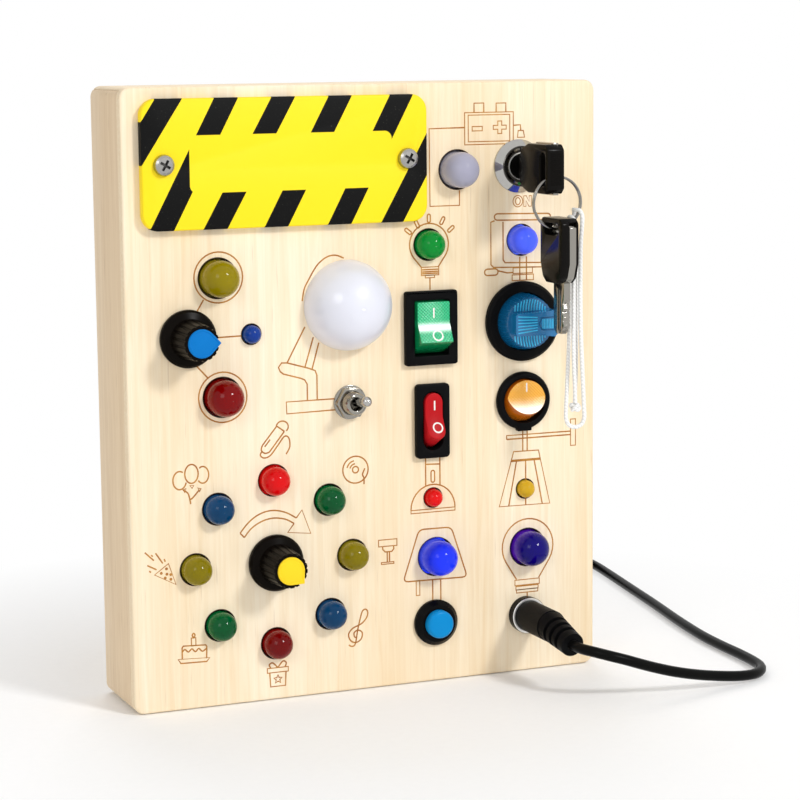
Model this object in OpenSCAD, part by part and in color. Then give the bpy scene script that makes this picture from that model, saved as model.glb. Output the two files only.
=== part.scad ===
// Wooden switch board for small children: a shallow pine box with a plywood front
// that carries lamps, rocker, toggle, push and rotary switches, a key lock and a
// power lead. It stands upright on its bottom edge. The origin is the middle of
// the bottom face, the front faces -Y and +Z is up. All sizes are millimetres.

/* [Board] */
// Width of the board
board_w = 140; // [138:1:170]
// Height of the board
board_h = 170; // [168:1:210]
// Depth of the board from front to back
board_d = 28; // [27:0.5:40]
// Thickness of the front plywood panel
panel_t = 3; // [2.6:0.1:3.4]
// Thickness of the back panel
back_t = 3; // [2:0.5:4]
// Width of the frame bars
bar_w = 10; // [8:0.5:10]
// Width of the rabbet that the back panel lies in
rabbet_w = 4.5; // [3:0.25:4.5]
// Radius of the four outer corners
corner_r = 3; // [1:0.5:4]

/* [Sign plate] */
// Board width that the striped plate leaves free
sign_free_w = 58; // [58:1:62]
// Height of the striped plate
sign_h = 35; // [28:1:35]
// Thickness of the striped plate
sign_t = 3; // [2:0.5:4]
// Corner radius of the striped plate
sign_r = 4.5; // [2:0.5:6]
// Middle of the striped plate, from the centre line
sign_x = -24.2; // [-26:0.1:-22]
// Middle of the striped plate, from the bottom
sign_z = 149.4; // [148:0.1:150]
// Distance of each plate screw from the plate's end
sign_screw_in = 6; // [5:0.5:10]

/* [Lamps] */
// Diameter of the largest lamps
big_led_d = 10; // [9:0.1:10.4]
// Diameter of the middle lamps
mid_led_d = 8; // [7:0.1:8.4]
// Diameter of the smallest lamps
small_led_d = 5; // [4:0.1:5.2]
// Clearance of a lamp in its hole, on the radius
led_gap = 0.4; // [0.3:0.05:0.6]
// Height of the middle of a large lamp's dome above the panel
big_led_out = 3.1; // [2:0.1:4]
// Height of the middle of a middle lamp's dome above the panel
mid_led_out = 2; // [1.4:0.1:3]
// Height of the middle of a small lamp's dome above the panel
small_led_out = 0.7; // [0.4:0.1:1.5]
// Radius of the ring of lamps around the selector
ring_r = 23; // [21:0.5:23]
// Radius of the white half round lamp cover
dome_r = 12.6; // [11.5:0.1:13]

/* [Places across from the centre line, on a board 140 wide] */
// Grey lamp
grey_x = 27.1; // [26:0.1:28]
// Olive lamp
olive_x = -43.8; // [-45:0.1:-43]
// Dark red lamp
dark_red_x = -43.1; // [-45:0.1:-42]
// Small blue lamp beside the mode knob
small_blue_x = -34.5; // [-35:0.1:-33]
// Lit blue lamp above the push button
lit_blue_x = 19.8; // [18:0.1:21]
// Purple lamp
purple_x = 48.6; // [47:0.1:49]
// Middle green lamp
green_x = 18.2; // [17:0.1:20]
// Middle blue lamp
blue_x = 46.8; // [45:0.1:48]
// Small red lamp
small_red_x = 19; // [18:0.1:21]
// Small yellow lamp
yellow_x = 47.9; // [46:0.1:49]
// White lamp cover
dome_x = -6.5; // [-8:0.1:-6]
// Mode knob
mode_x = -52.8; // [-53:0.1:-52]
// Toggle switch
toggle_x = -6; // [-7:0.1:-5]
// Green rocker switch
green_rocker_x = 18.3; // [17.5:0.1:20]
// Red rocker switch
red_rocker_x = 18.5; // [17:0.1:20]
// Round amber rocker switch
amber_rocker_x = 47; // [46:0.1:48]
// Blue rotary switch
rotary_x = 46.9; // [46:0.1:47]
// Key lock
lock_x = 45.9; // [45:0.1:47]
// Push button
button_x = 19.4; // [18:0.1:21]
// Power socket
jack_x = 47.9; // [47:0.1:49]

/* [Places up from the bottom, on a board 170 high] */
// Grey lamp
grey_z = 145.7; // [144:0.1:147]
// Olive lamp
olive_z = 118.5; // [118:0.1:120]
// Dark red lamp
dark_red_z = 86; // [84:0.1:87]
// Small blue lamp beside the mode knob
small_blue_z = 102.8; // [101:0.1:104]
// Lit blue lamp above the push button
lit_blue_z = 36.2; // [34:0.1:38]
// Purple lamp
purple_z = 36.4; // [35:0.1:38]
// Middle green lamp
green_z = 125.1; // [123:0.1:127]
// Middle blue lamp
blue_z = 125.3; // [124:0.1:127]
// Small red lamp
small_red_z = 53.3; // [52:0.1:55]
// Small yellow lamp
yellow_z = 53.6; // [52:0.1:55]
// White lamp cover
dome_z = 109.4; // [109:0.1:111]
// Mode knob
mode_z = 102.6; // [102:0.1:103]
// Toggle switch
toggle_z = 82.3; // [81:0.1:83]
// Green rocker switch
green_rocker_z = 101.85; // [100:0.05:103]
// Red rocker switch
red_rocker_z = 75.5; // [74:0.1:77]
// Round amber rocker switch
amber_rocker_z = 79.4; // [78:0.1:80]
// Blue rotary switch
rotary_z = 102.2; // [101:0.1:103]
// Key lock
lock_z = 146.2; // [145:0.1:147]
// Push button
button_z = 17.2; // [17:0.1:18]
// Power socket
jack_z = 16.7; // [16.5:0.1:17]

/* [Knobs] */
// Skirt diameter of the two pointer knobs
knob_skirt_d = 15.8; // [14.8:0.1:16]
// Diameter at the foot of the knob's cone
knob_foot_d = 11.2; // [11:0.1:12]
// Diameter at the top of the knob's cone
knob_top_d = 9.7; // [9:0.1:10.5]
// Height of the knob's top above the panel
knob_top = 12.9; // [12:0.1:14]
// Diameter of the coloured cap
cap_d = 7.75; // [7:0.05:8]
// Reach of the cap's pointer from the knob's axis
cap_reach = 5.2; // [5:0.1:6]
// Diameter of the switch shaft
shaft_d = 4; // [3:0.1:4.4]

/* [Rotary switch] */
// Diameter of the round black bezel
rotary_bezel_d = 22.8; // [22:0.1:23]
// Diameter at the foot of the clear blue knob
rotary_foot_d = 15.9; // [15:0.1:16]
// Diameter at the face of the clear blue knob
rotary_face_d = 14.2; // [13.6:0.1:14.6]
// Height of the knob's face above the panel
rotary_face = 6; // [5:0.1:7]
// Height of the grip bar on the knob's face
rotary_grip_h = 3.8; // [2.5:0.1:4]
// Width of the grip bar
rotary_grip_w = 6.4; // [5:0.1:7]

/* [Rocker switches] */
// Height of every rocker bezel above the panel
bezel_h = 2; // [1.6:0.1:2.2]
// Half of the rocker's swing, degrees
rocker_tilt = 13.5; // [10:0.5:14]
// Width of the green switch's bezel
green_bezel_w = 15.8; // [15.4:0.1:17]
// Height of the green switch's bezel
green_bezel_h = 20.9; // [20.4:0.1:22]
// Width of the red switch's bezel
red_bezel_w = 10.2; // [9.8:0.1:12]
// Height of the red switch's bezel
red_bezel_h = 21.1; // [20.6:0.1:22]
// Diameter of the amber switch's bezel
amber_bezel_d = 16.6; // [15.8:0.1:17]

/* [Toggle, button and socket] */
// Height of the toggle lever's tip above the panel
toggle_tip = 14.3; // [12:0.1:16]
// Tilt of the toggle lever to each side, degrees
toggle_tilt = 10; // [8:1:12]
// Diameter of the push button's bezel
button_bezel_d = 13.1; // [12:0.1:13.5]
// Diameter of the push button's cap
button_cap_d = 8; // [7:0.1:8]
// Height of the cap's top above the panel
button_top = 4.6; // [3.6:0.1:5]
// Travel of the push button
button_travel = 2.5; // [1.5:0.1:2.5]
// Diameter of the power socket's collar
jack_collar_d = 10.6; // [9.6:0.1:10.8]
// Height of the power socket's collar above the panel
jack_collar_h = 2.5; // [2:0.1:3]
// Diameter of the power lead
cord_d = 3; // [2.8:0.1:3]

/* [Lock and keys] */
// Diameter of the lock's chrome bezel
lock_bezel_d = 15; // [14.6:0.1:15.6]
// Height of the lock's bezel above the panel
lock_bezel_h = 2.4; // [2:0.1:3]
// Length of a key's grip
bow_l = 18; // [17.6:0.1:19]
// Width of a key's grip
bow_w = 13.6; // [12:0.1:14]
// Thickness of a key's grip
bow_t = 5.3; // [4.8:0.1:5.5]
// Length of a key's blade
blade_l = 14.3; // [12:0.1:14.5]
// Thickness of the metal of a key
blade_t = 2; // [1.6:0.1:2.2]
// Outer diameter of the key ring
key_ring_d = 15.6; // [15.2:0.1:15.8]
// Thickness of the key ring's wire
ring_wire = 1.3; // [1:0.05:1.3]
// Distance of the key ring in front of the panel
ring_out = 21; // [20.5:0.1:21.5]

/* [Hidden] */
$fn = 48;

// ---- planes and clearances ----
front_y = -board_d / 2;
panel_back = -panel_t;                 // depth of the panel's back, seen from the front face
room_back = -(board_d - back_t);       // depth of the back panel's inner face
run_fit = 0.05;                        // running fit of a shaft in its bore
free_fit = 0.3;                        // gap round a moving piece
hole_fit = 0.1;                        // gap round a switch in its panel hole
skin = 1;                              // overshoot of a cut past a face

// ---- places as pairs: across, up. They are given on a board of the plan's size and draw
// together or apart with the room between the bars ----
plan_w = 140;
plan_h = 170;
plan_bar = 10;
edge_room = 7;                         // room that the outermost pieces keep from the bars
spread_x = (board_w / 2 - bar_w - edge_room) / (plan_w / 2 - plan_bar - edge_room);
spread_z = (board_h / 2 - bar_w - edge_room) / (plan_h / 2 - plan_bar - edge_room);
function on_board(x, z) = [x * spread_x, board_h / 2 + (z - plan_h / 2) * spread_z];
grey_at = on_board(grey_x, grey_z);
olive_at = on_board(olive_x, olive_z);
dark_red_at = on_board(dark_red_x, dark_red_z);
small_blue_at = on_board(small_blue_x, small_blue_z);
lit_blue_at = on_board(lit_blue_x, lit_blue_z);
purple_at = on_board(purple_x, purple_z);
green_at = on_board(green_x, green_z);
blue_at = on_board(blue_x, blue_z);
small_red_at = on_board(small_red_x, small_red_z);
yellow_at = on_board(yellow_x, yellow_z);
dome_at = on_board(dome_x, dome_z);
mode_at = on_board(mode_x, mode_z);
toggle_at = on_board(toggle_x, toggle_z);
green_rocker_at = on_board(green_rocker_x, green_rocker_z);
red_rocker_at = on_board(red_rocker_x, red_rocker_z);
amber_rocker_at = on_board(amber_rocker_x, amber_rocker_z);
rotary_at = on_board(rotary_x, rotary_z);
lock_at = on_board(lock_x, lock_z);
button_at = on_board(button_x, button_z);
jack_at = on_board(jack_x, jack_z);
sign_at = on_board(sign_x, sign_z);

// the ring of lamps keeps its room from the left bar and from the bottom bar
ring_side_room = 8.2;
ring_foot_room = 6;
selector_at = [bar_w + ring_r + ring_side_room - board_w / 2, bar_w + ring_r + ring_foot_room];
// place of a lamp of the ring, counted clockwise from the top in eighths of a turn
function ring_at(eighth) =
  selector_at + ring_r * [sin(45 * eighth), cos(45 * eighth)];
ring_olive = [2, 6];
ring_green = [1, 5];
ring_blue = [3, 7];
ring_dark_red = [4];
ring_lit_red = [0];

big_leds = [grey_at, olive_at, dark_red_at, lit_blue_at, purple_at];
mid_leds = concat([green_at, blue_at], [for (i = [0:7]) ring_at(i)]);
small_leds = [small_blue_at, small_red_at, yellow_at];
all_leds = concat(big_leds, mid_leds, small_leds);
flange_t = 1.5;
flange_lip = 0.8;
lead_r = 0.3;
lead_half_pitch = 1.27;
lead_end = -16;

// ---- striped plate ----
sign_w = board_w - sign_free_w;
sign_screw_x = sign_w / 2 - sign_screw_in;

// ---- rotary switches and their knobs ----
bush_r = 3.5;
bush_out = 2.2;
switch_r = 6.5;
switch_back = -12;
knob_nut_af = 9;
knob_nut_t = 1.6;
knob_gap = 0.5;
knob_room_r = 5.45;
knob_room_top = 2.5;
skirt_edge = 1.6;
skirt_top = 3;
shaft_top = 9;
wiper_r = 4.1;
cap_t = 0.6;
flutes = 18;
flute_r = 0.42;
selector_rest = -45;                   // the pointer rests on the lamp at the lower right

// ---- blue rotary switch ----
rotary_thread_r = 9.5;
rotary_cup_r = rotary_foot_d / 2 + 0.45;
rotary_bezel_h = 2;
rotary_ribs = 30;

// ---- rockers: half width, half height in both end poses, pivot from the panel, height of
// the face's ends above the pivot ----
green_half_w = 4.95;
green_half_l = 7.5;
green_pivot = -3.5;
green_peak = 8.3;
red_half_w = 2.7;
red_half_l = 8;
red_pivot = -3;
red_peak = 7.2;
amber_r = 6.1;
amber_pivot = -1.5;
amber_peak = 5.9;
rocker_under = 1.6;                    // depth of the rocker below its pivot
rocker_room = -7.2;                    // floor of the housing's hollow
pin_r = 0.8;
pin_in = 1;

// ---- toggle ----
toggle_hinge = 3;
toggle_bush_r = 3;
toggle_bush_out = 5.5;
lever_ball_r = 1.6;
lever_foot_r = 0.9;
lever_tip_r = 1.45;

// ---- push button ----
button_thread_r = 5;
button_flange_r = button_cap_d / 2 + 0.4;
button_floor = -6.5 - button_travel;

// ---- lock and keys ----
lock_thread_r = 6;
lock_bore_r = 4.6;
lock_back = -16;
core_side = -0.2;                      // the metal lies off the middle of the grip
eye_r = 1.6;
eye_half = 2.9;
eye_up = 14.9;                         // height of the grip's eye above its shoulder
eye_level = -2.95;                     // level of the ring's wire in the lock key's eye
ring_r_mid = (key_ring_d - ring_wire) / 2;
ring_x = lock_at[0] + 1.9;
ring_z = lock_at[1] + eye_level + 0.8 - ring_r_mid;
shoulder_out = ring_out - eye_up;
spare_x = ring_x + 0.7;
spare_eye_z = ring_z - ring_r_mid;

// ---- power socket and plug ----
jack_thread_r = 4;
jack_bore_r = 2.8;
plug_r = 4.5;
plug_straight = 17;
relief_l = 13;
relief_tilt = 11.5;
relief_r = 3.4;

// ---- inner pieces ----
pcb_w = 58;
pcb_h = 46;
pcb_side_room = 5;
pcb_foot_room = 3;
pcb_at = [board_w / 2 - bar_w - pcb_side_room - pcb_w / 2, bar_w + pcb_foot_room + pcb_h / 2];
pcb_t = 1.6;
spacer_h = 2;
spacer_r = 2.5;
pcb_front = room_back + spacer_h + pcb_t;
trunk_x = 3;
trunk_r = 2;
wire_r = 0.6;
wire_deep = room_back + 2.5;
sleeve_l = 2;
sleeve_r = 1.9;
lamp_board_r = 11;

// ---- screws ----
back_screw_in = 7.1;
back_screw_end = 20;
back_screw_r = 1.25;
back_head_r = 2.3;
back_head_t = 1.5;
back_screw_l = 12;
sign_shank_r = 1.45;
sign_head_r = 2.85;
sign_head_h = 2;

// ---- lead: from the strain relief down to the floor, round the corner and back ----
lead_exit = [jack_at[0] + 0.3, front_y - plug_straight - relief_l * cos(relief_tilt),
             jack_at[1] - relief_l * sin(relief_tilt)];
lead_rest = cord_d / 2;
lead_route = [lead_exit, [48.7, -48.2, 14], [50.8, -52.1, 13.7], [54.4, -54.9, 12.8],
              [58.7, -56, 11.5], [63.2, -56.2, 9.9], [68.2, -56, 8.2], [74.2, -55.7, 6.4],
              [81.2, -55.1, 4.7], [88.6, -54.3, 3.3], [95.6, -53.5, 2.3], [101.3, -52, 1.8],
              [105.6, -49, 1.6], [108.4, -44.7, 1.6], [109.6, -39.5, 1.6],
              [110.2, -34, 1.6], [110.6, -27, 1.6],
              [111, -18, lead_rest], [112, -4, lead_rest], [115, 16, lead_rest],
              [119, 38, lead_rest], [123, 62, lead_rest], [127, 86, lead_rest],
              [129, 100, lead_rest], [129.5, 114, lead_rest]];
coil_at = [110.5, 114];
coil_in_r = 16;
coil_out_r = 19;
coil_layers = 3;
tail_route = [[91.5, 114, 4.5], [91.5, 107, 4.5], [91.5, 100, 4.3], [91.5, 93, 4]];
usb_at = [91.5, 93, 4];
usb_grip = [15, 25, 8];
usb_shell = [12, 14, 4.5];

// ---- cord on the key ring: looped twice over the ring, both ends in one knot ----
string_d = 1.2;
string_x = ring_x + ring_r_mid * cos(51);
string_top = ring_z - ring_r_mid * sin(51) + ((ring_wire + string_d) / 2 + 0.02) / sin(51) - 2.4;
string_y = front_y - ring_out;
string_route = [[0.8, -0.65, -49.6], [0.5, -0.95, -45], [0, -1.2, -36], [0, -1.2, -24],
                [0, -1.2, -13], [0, -1.6, -6], [0, -2.25, -2.2], [0, -2.4, 0], [-0.2, -1.7, 1.65],
                [-0.4, 0, 2.35], [-0.2, 1.7, 1.65], [0, 2.4, 0], [0, 2.25, -2.2], [0, 1.6, -6],
                [0, 1.2, -13], [-0.1, 1.2, -28], [-0.8, 1.1, -43], [-1.35, 0.85, -51.6],
                [-1.4, 0.75, -54], [-0.7, 0.4, -55.8], [1.05, 0, -56.5], [2.8, -0.4, -55.8],
                [3.5, -0.75, -54], [3.45, -0.85, -51.6], [2.9, -1.1, -43], [2.2, -1.2, -28],
                [2.1, -1.2, -13], [2, -1.6, -5], [2, -2.3, 0], [2, -2.4, 2.6], [1.5, -1.75, 4.1],
                [0.75, 0, 4.15], [1.5, 1.75, 4.1], [2, 2.4, 2.6], [2, 2.3, 0], [2, 1.6, -5],
                [2, 1.2, -13], [2, 1.2, -26], [1.9, 1.15, -38], [1.6, 0.95, -45],
                [1.3, 0.65, -49.6]];
string_knot = [1.05, 0, -52];

// ---- helpers ----
// child frame on the front face: X across, Y up, Z out of the face
module at_front(place)
  translate([place[0], front_y, place[1]])
    rotate([90, 0, 0])
      children();

module rounded_outline(w, h, r) {
  square([w - 2 * r, h], center = true);
  square([w, h - 2 * r], center = true);
  for (sx = [-1, 1], sy = [-1, 1])
    translate([sx * (w / 2 - r), sy * (h / 2 - r)])
      circle(r);
}

// cylinder from one depth to another along the child frame's Z
module rod(r, from, to)
  translate([0, 0, from])
    cylinder(r = r, h = to - from);

module bar(w, h, from, to)
  translate([-w / 2, -h / 2, from])
    cube([w, h, to - from]);

module hex(across_flats, from, to)
  translate([0, 0, from])
    cylinder(r = across_flats / sqrt(3), h = to - from, $fn = 6);

module stadium_outline(w, h) {
  square([w, h - w], center = true);
  for (side = [-1, 1])
    translate([0, side * (h - w) / 2])
      circle(w / 2);
}

module cross_recess(size, depth) {
  translate([-size / 2, -size / 7, -depth])
    cube([size, size / 3.5, depth + skin]);
  translate([-size / 7, -size / 2, -depth])
    cube([size / 3.5, size, depth + skin]);
}

function unit(v) = v / norm(v);
// tube swept along a list of points; "side" is never parallel to the path
function path_tangent(path, i) =
  unit(path[min(i + 1, len(path) - 1)] - path[max(i - 1, 0)]);
function tube_ring(centre, along, side, r, sides) =
  let (u = unit(cross(along, side)), v = cross(along, u))
  [for (k = [0:sides - 1]) centre + r * (cos(360 * k / sides) * u + sin(360 * k / sides) * v)];
function blend_point(a, b, c, d, t) =
  0.5 * (2 * b + (c - a) * t + (2 * a - 5 * b + 4 * c - d) * t * t
         + (3 * b - a - 3 * c + d) * t * t * t);
function smooth_path(route, steps) =
  let (last = len(route) - 1)
  concat([for (i = [0:last - 1], s = [0:steps - 1])
            blend_point(route[max(i - 1, 0)], route[i], route[i + 1],
                        route[min(i + 2, last)], s / steps)],
         [route[last]]);

module tube(path, r, side, sides = 8) {
  rings = len(path);
  points = [for (i = [0:rings - 1])
              each tube_ring(path[i], path_tangent(path, i), side, r, sides)];
  walls = [for (i = [0:rings - 2], k = [0:sides - 1])
             let (next = (k + 1) % sides)
             [i * sides + k, (i + 1) * sides + k, (i + 1) * sides + next, i * sides + next]];
  start_cap = [for (k = [0:sides - 1]) k];
  end_cap = [for (k = [sides - 1:-1:0]) (rings - 1) * sides + k];
  polyhedron(points = points, faces = concat([start_cap], walls, [end_cap]), convexity = 8);
}

// ---- board ----
module box_outline()
  rounded_outline(board_w, board_h, corner_r);

module back_screw_places()
  for (side = [-1, 1], z = [back_screw_end, board_h / 2, board_h - back_screw_end])
    at_front([side * (board_w / 2 - back_screw_in), z])
      translate([0, 0, -board_d])
        children();

// ring of frame wood, between the front panel and the back face
module frame_ring() {
  difference() {
    at_front([0, board_h / 2])
      difference() {
        translate([0, 0, -board_d])
          linear_extrude(board_d - panel_t)
            box_outline();
        bar(board_w - 2 * bar_w, board_h - 2 * bar_w, -board_d - skin, 0);
        bar(board_w - 2 * rabbet_w, board_h - 2 * rabbet_w, -board_d - skin, room_back);
      }
    back_screw_places()
      rod(back_screw_r, 0, back_screw_l);
  }
}

// the wedge of the ring that one mitred bar fills
module mitre_wedge(half_long, half_wide)
  at_front([0, board_h / 2])
    translate([0, 0, -board_d])
      linear_extrude(board_d)
        polygon([[-half_wide, -half_long], [-half_wide + bar_w, -half_long + bar_w],
                 [-half_wide + bar_w, half_long - bar_w], [-half_wide, half_long]]);

module side_bar()
  intersection() {
    frame_ring();
    mitre_wedge(board_h / 2, board_w / 2);
  }

module end_bar()
  intersection() {
    frame_ring();
    at_front([0, board_h / 2])
      translate([0, 0, -board_d])
        linear_extrude(board_d)
          polygon([[-board_w / 2, -board_h / 2], [board_w / 2, -board_h / 2],
                   [board_w / 2 - bar_w, bar_w - board_h / 2],
                   [bar_w - board_w / 2, bar_w - board_h / 2]]);
  }

module frame_left() color("burlywood") side_bar();
module frame_right() color("burlywood") mirror([1, 0, 0]) side_bar();
module frame_bottom() color("tan") end_bar();
module frame_top()
  color("tan")
    translate([0, 0, board_h])
      mirror([0, 0, 1])
        end_bar();

module panel_hole(place, r)
  at_front(place)
    rod(r, panel_back - skin, skin);

module front_panel()
  color("wheat")
    difference() {
      at_front([0, board_h / 2])
        translate([0, 0, panel_back])
          linear_extrude(panel_t)
            box_outline();
      for (place = big_leds) panel_hole(place, big_led_d / 2 + led_gap + 0.1);
      for (place = mid_leds) panel_hole(place, mid_led_d / 2 + led_gap);
      for (place = small_leds) panel_hole(place, small_led_d / 2 + led_gap - 0.1);
      for (place = [mode_at, selector_at]) panel_hole(place, bush_r + hole_fit);
      for (side = [-1, 1]) panel_hole(sign_at + [side * sign_screw_x, 0], sign_shank_r);
      panel_hole(dome_at, dome_r - 3.1);
      panel_hole(rotary_at, rotary_thread_r + hole_fit);
      panel_hole(amber_rocker_at, amber_bezel_d / 2 - 1);
      panel_hole(toggle_at, toggle_bush_r + hole_fit);
      panel_hole(lock_at, lock_thread_r + hole_fit);
      panel_hole(button_at, button_thread_r + hole_fit);
      panel_hole(jack_at, jack_thread_r + hole_fit);
      at_front(green_rocker_at)
        bar(green_bezel_w - 2.6, green_bezel_h - 1.8, panel_back - skin, skin);
      at_front(red_rocker_at)
        bar(red_bezel_w - 1.6, red_bezel_h - 1.8, panel_back - skin, skin);
    }

module back_panel()
  color("wheat")
    difference() {
      at_front([0, board_h / 2])
        bar(board_w - 2 * rabbet_w, board_h - 2 * rabbet_w, -board_d, room_back);
      back_screw_places() {
        rod(back_screw_r, -skin, back_t + skin);
        cylinder(r1 = back_head_r, r2 = back_screw_r, h = back_head_t);
      }
    }

module back_screws()
  color("silver")
    back_screw_places()
      difference() {
        union() {
          cylinder(r1 = back_head_r, r2 = back_screw_r, h = back_head_t);
          rod(back_screw_r, 0, back_screw_l);
        }
        mirror([0, 0, 1])
          cross_recess(2.4, 0.9);
      }

// ---- sign plate ----
module sign_plate()
  color("gold")
    difference() {
      at_front(sign_at)
        linear_extrude(sign_t)
          rounded_outline(sign_w, sign_h, sign_r);
      for (side = [-1, 1])
        at_front(sign_at + [side * sign_screw_x, 0])
          rod(sign_shank_r + hole_fit, -skin, sign_t + skin);
    }

module sign_screws()
  color("silver")
    for (side = [-1, 1])
      at_front(sign_at + [side * sign_screw_x, 0])
        difference() {
          union() {
            rod(sign_shank_r, panel_back, sign_t + 0.2);
            translate([0, 0, sign_t])
              rotate_extrude()
                intersection() {
                  square([sign_head_r, sign_head_h]);
                  translate([0, sign_head_h - 3.6])
                    circle(3.6);
                }
          }
          translate([0, 0, sign_t + sign_head_h])
            rotate([0, 0, 30])
              cross_recess(3, 1.2);
        }

// ---- lamps ----
// hole_r is the radius of the panel hole that the flange lies behind
module led(place, d, out, hole_r)
  at_front(place) {
    rod(hole_r + flange_lip, panel_back - flange_t, panel_back);
    rod(d / 2, panel_back - flange_t, out);
    translate([0, 0, out])
      sphere(d / 2);
  }

module big_led(place) led(place, big_led_d, big_led_out, big_led_d / 2 + led_gap + 0.1);
module mid_led(place) led(place, mid_led_d, mid_led_out, mid_led_d / 2 + led_gap);
module small_led(place) led(place, small_led_d, small_led_out, small_led_d / 2 + led_gap - 0.1);

module led_grey() color("lightsteelblue") big_led(grey_at);
module leds_olive()
  color("olive") {
    big_led(olive_at);
    for (i = ring_olive) mid_led(ring_at(i));
  }
module leds_dark_red()
  color("darkred") {
    big_led(dark_red_at);
    for (i = ring_dark_red) mid_led(ring_at(i));
  }
module leds_lit_blue()
  color("royalblue") {
    big_led(lit_blue_at);
    mid_led(blue_at);
  }
module led_purple() color("indigo") big_led(purple_at);
module leds_green()
  color("seagreen") {
    mid_led(green_at);
    for (i = ring_green) mid_led(ring_at(i));
  }
module leds_dark_blue()
  color("midnightblue") {
    small_led(small_blue_at);
    for (i = ring_blue) mid_led(ring_at(i));
  }
module leds_lit_red()
  color("red") {
    small_led(small_red_at);
    for (i = ring_lit_red) mid_led(ring_at(i));
  }
module led_yellow() color("goldenrod") small_led(yellow_at);

function over_pcb(place) =
  abs(place[0] - pcb_at[0]) < pcb_w / 2 && abs(place[1] - pcb_at[1]) < pcb_h / 2;

module led_leads()
  color("silver")
    for (place = all_leds, side = [-1, 1])
      at_front(place)
        translate([side * lead_half_pitch, 0, 0])
          rod(lead_r, over_pcb(place) ? pcb_front : lead_end, panel_back - flange_t);

// hollow half ball with a collar that is glued into the panel
module lamp_dome()
  color("white")
    at_front(dome_at)
      difference() {
        union() {
          intersection() {
            sphere(dome_r);
            bar(3 * dome_r, 3 * dome_r, 0, dome_r);
          }
          rod(dome_r - 3.2, panel_back, 0.5);
        }
        intersection() {
          sphere(dome_r - 1.4);
          bar(3 * dome_r, 3 * dome_r, 1, dome_r);
        }
        rod(dome_r - 4.6, panel_back - skin, 1.5);
      }

module lamp_board()
  color("white")
    at_front(dome_at) {
      rod(lamp_board_r, panel_back - pcb_t, panel_back);
      bar(5, 5, panel_back - 0.5, panel_back + 1.6);
    }

// ---- the two rotary switches behind the pointer knobs ----
module rotary_switch(place)
  at_front(place)
    difference() {
      union() {
        rod(bush_r, panel_back, bush_out);
        rod(switch_r, switch_back, panel_back);
        for (side = [-1, 0, 1])
          translate([side * 3.5, -2, 0])
            bar(1.6, 0.8, lead_end, switch_back + 0.5);
      }
      rod(shaft_d / 2 + run_fit, switch_back + 1.2, bush_out + skin);
      rod(wiper_r + free_fit, switch_back + 1.2, switch_back + 4.2);
    }

module rotary_switches()
  color("dimgray") {
    rotary_switch(mode_at);
    rotary_switch(selector_at);
  }

module knob_shaft(place)
  at_front(place) {
    rod(shaft_d / 2, switch_back + 1.5, shaft_top);
    rod(wiper_r, switch_back + 1.5, switch_back + 3.9);
  }

module mode_shaft() color("silver") knob_shaft(mode_at);
module selector_shaft() color("silver") knob_shaft(selector_at);

// fluted cone on a flat skirt; the skirt hides the nut
module pointer_knob(place, turn) {
  cone_lean = atan((knob_foot_d - knob_top_d) / 2 / (knob_top - skirt_top));
  at_front(place)
    rotate([0, 0, turn])
      difference() {
        rotate_extrude()
          polygon([[0, knob_room_top], [knob_room_r, knob_room_top], [knob_room_r, knob_gap],
                   [knob_skirt_d / 2, knob_gap], [knob_skirt_d / 2, skirt_edge],
                   [knob_skirt_d / 2 - 0.6, skirt_top - 0.6], [knob_foot_d / 2, skirt_top],
                   [knob_top_d / 2, knob_top], [0, knob_top]]);
        for (i = [0:flutes - 1])
          rotate([0, 0, (i + 0.5) * 360 / flutes])
            translate([knob_foot_d / 2 + 0.1, 0, skirt_top + 0.8])
              rotate([0, -cone_lean, 0])
                cylinder(r = flute_r, h = knob_top, $fn = 16);
        rod(shaft_d / 2 + 0.02, 0, shaft_top);
        rod(cap_d / 2 + 0.03, knob_top - cap_t, knob_top + skin);
        bar_to_edge(cap_t + 0.02);
      }
}

// the slot for the cap's pointer, from the middle to the knob's edge
module bar_to_edge(depth)
  translate([0, -1.2, knob_top - depth])
    cube([knob_top_d, 2.4, depth + skin]);

// flat cap with a pointer that reaches over the knob's edge
module pointer_cap(place, turn)
  at_front(place)
    rotate([0, 0, turn]) {
      rod(cap_d / 2, knob_top - cap_t, knob_top + cap_t);
      translate([0, -1.1, knob_top - cap_t])
        cube([cap_reach - 0.2, 2.2, 2 * cap_t]);
      translate([0, 0, knob_top])
        linear_extrude(cap_t)
          polygon([[1.5, -3.4], [cap_reach, -0.9], [cap_reach, 0.9], [1.5, 3.4]]);
    }

module mode_knob() color("black") pointer_knob(mode_at, 0);
module mode_cap() color("dodgerblue") pointer_cap(mode_at, 0);
module selector_knob() color("black") pointer_knob(selector_at, selector_rest);
module selector_cap() color("gold") pointer_cap(selector_at, selector_rest);

// ---- blue rotary switch ----
module rotary_bezel()
  color("black")
    at_front(rotary_at)
      difference() {
        union() {
          rotate_extrude()
            polygon([[0, 0], [rotary_bezel_d / 2, 0], [rotary_bezel_d / 2, 1.2],
                     [rotary_bezel_d / 2 - 0.8, rotary_bezel_h], [0, rotary_bezel_h]]);
          rod(rotary_thread_r, -8, 0.5);
        }
        rod(rotary_cup_r, -3, rotary_bezel_h + skin);
        rod(rotary_cup_r - 1, -8 - skin, 0);
      }

module rotary_body()
  color("dimgray")
    at_front(rotary_at)
      difference() {
        union() {
          rod(rotary_thread_r, -15, -8);
          rod(rotary_cup_r - 1 - hole_fit, -8.5, -5);
          for (side = [-1, 1])
            translate([side * 5, 0, 0])
              bar(0.8, 4.8, -19, -14.5);
        }
        rod(3 + run_fit, -12, 0);
      }

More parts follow.
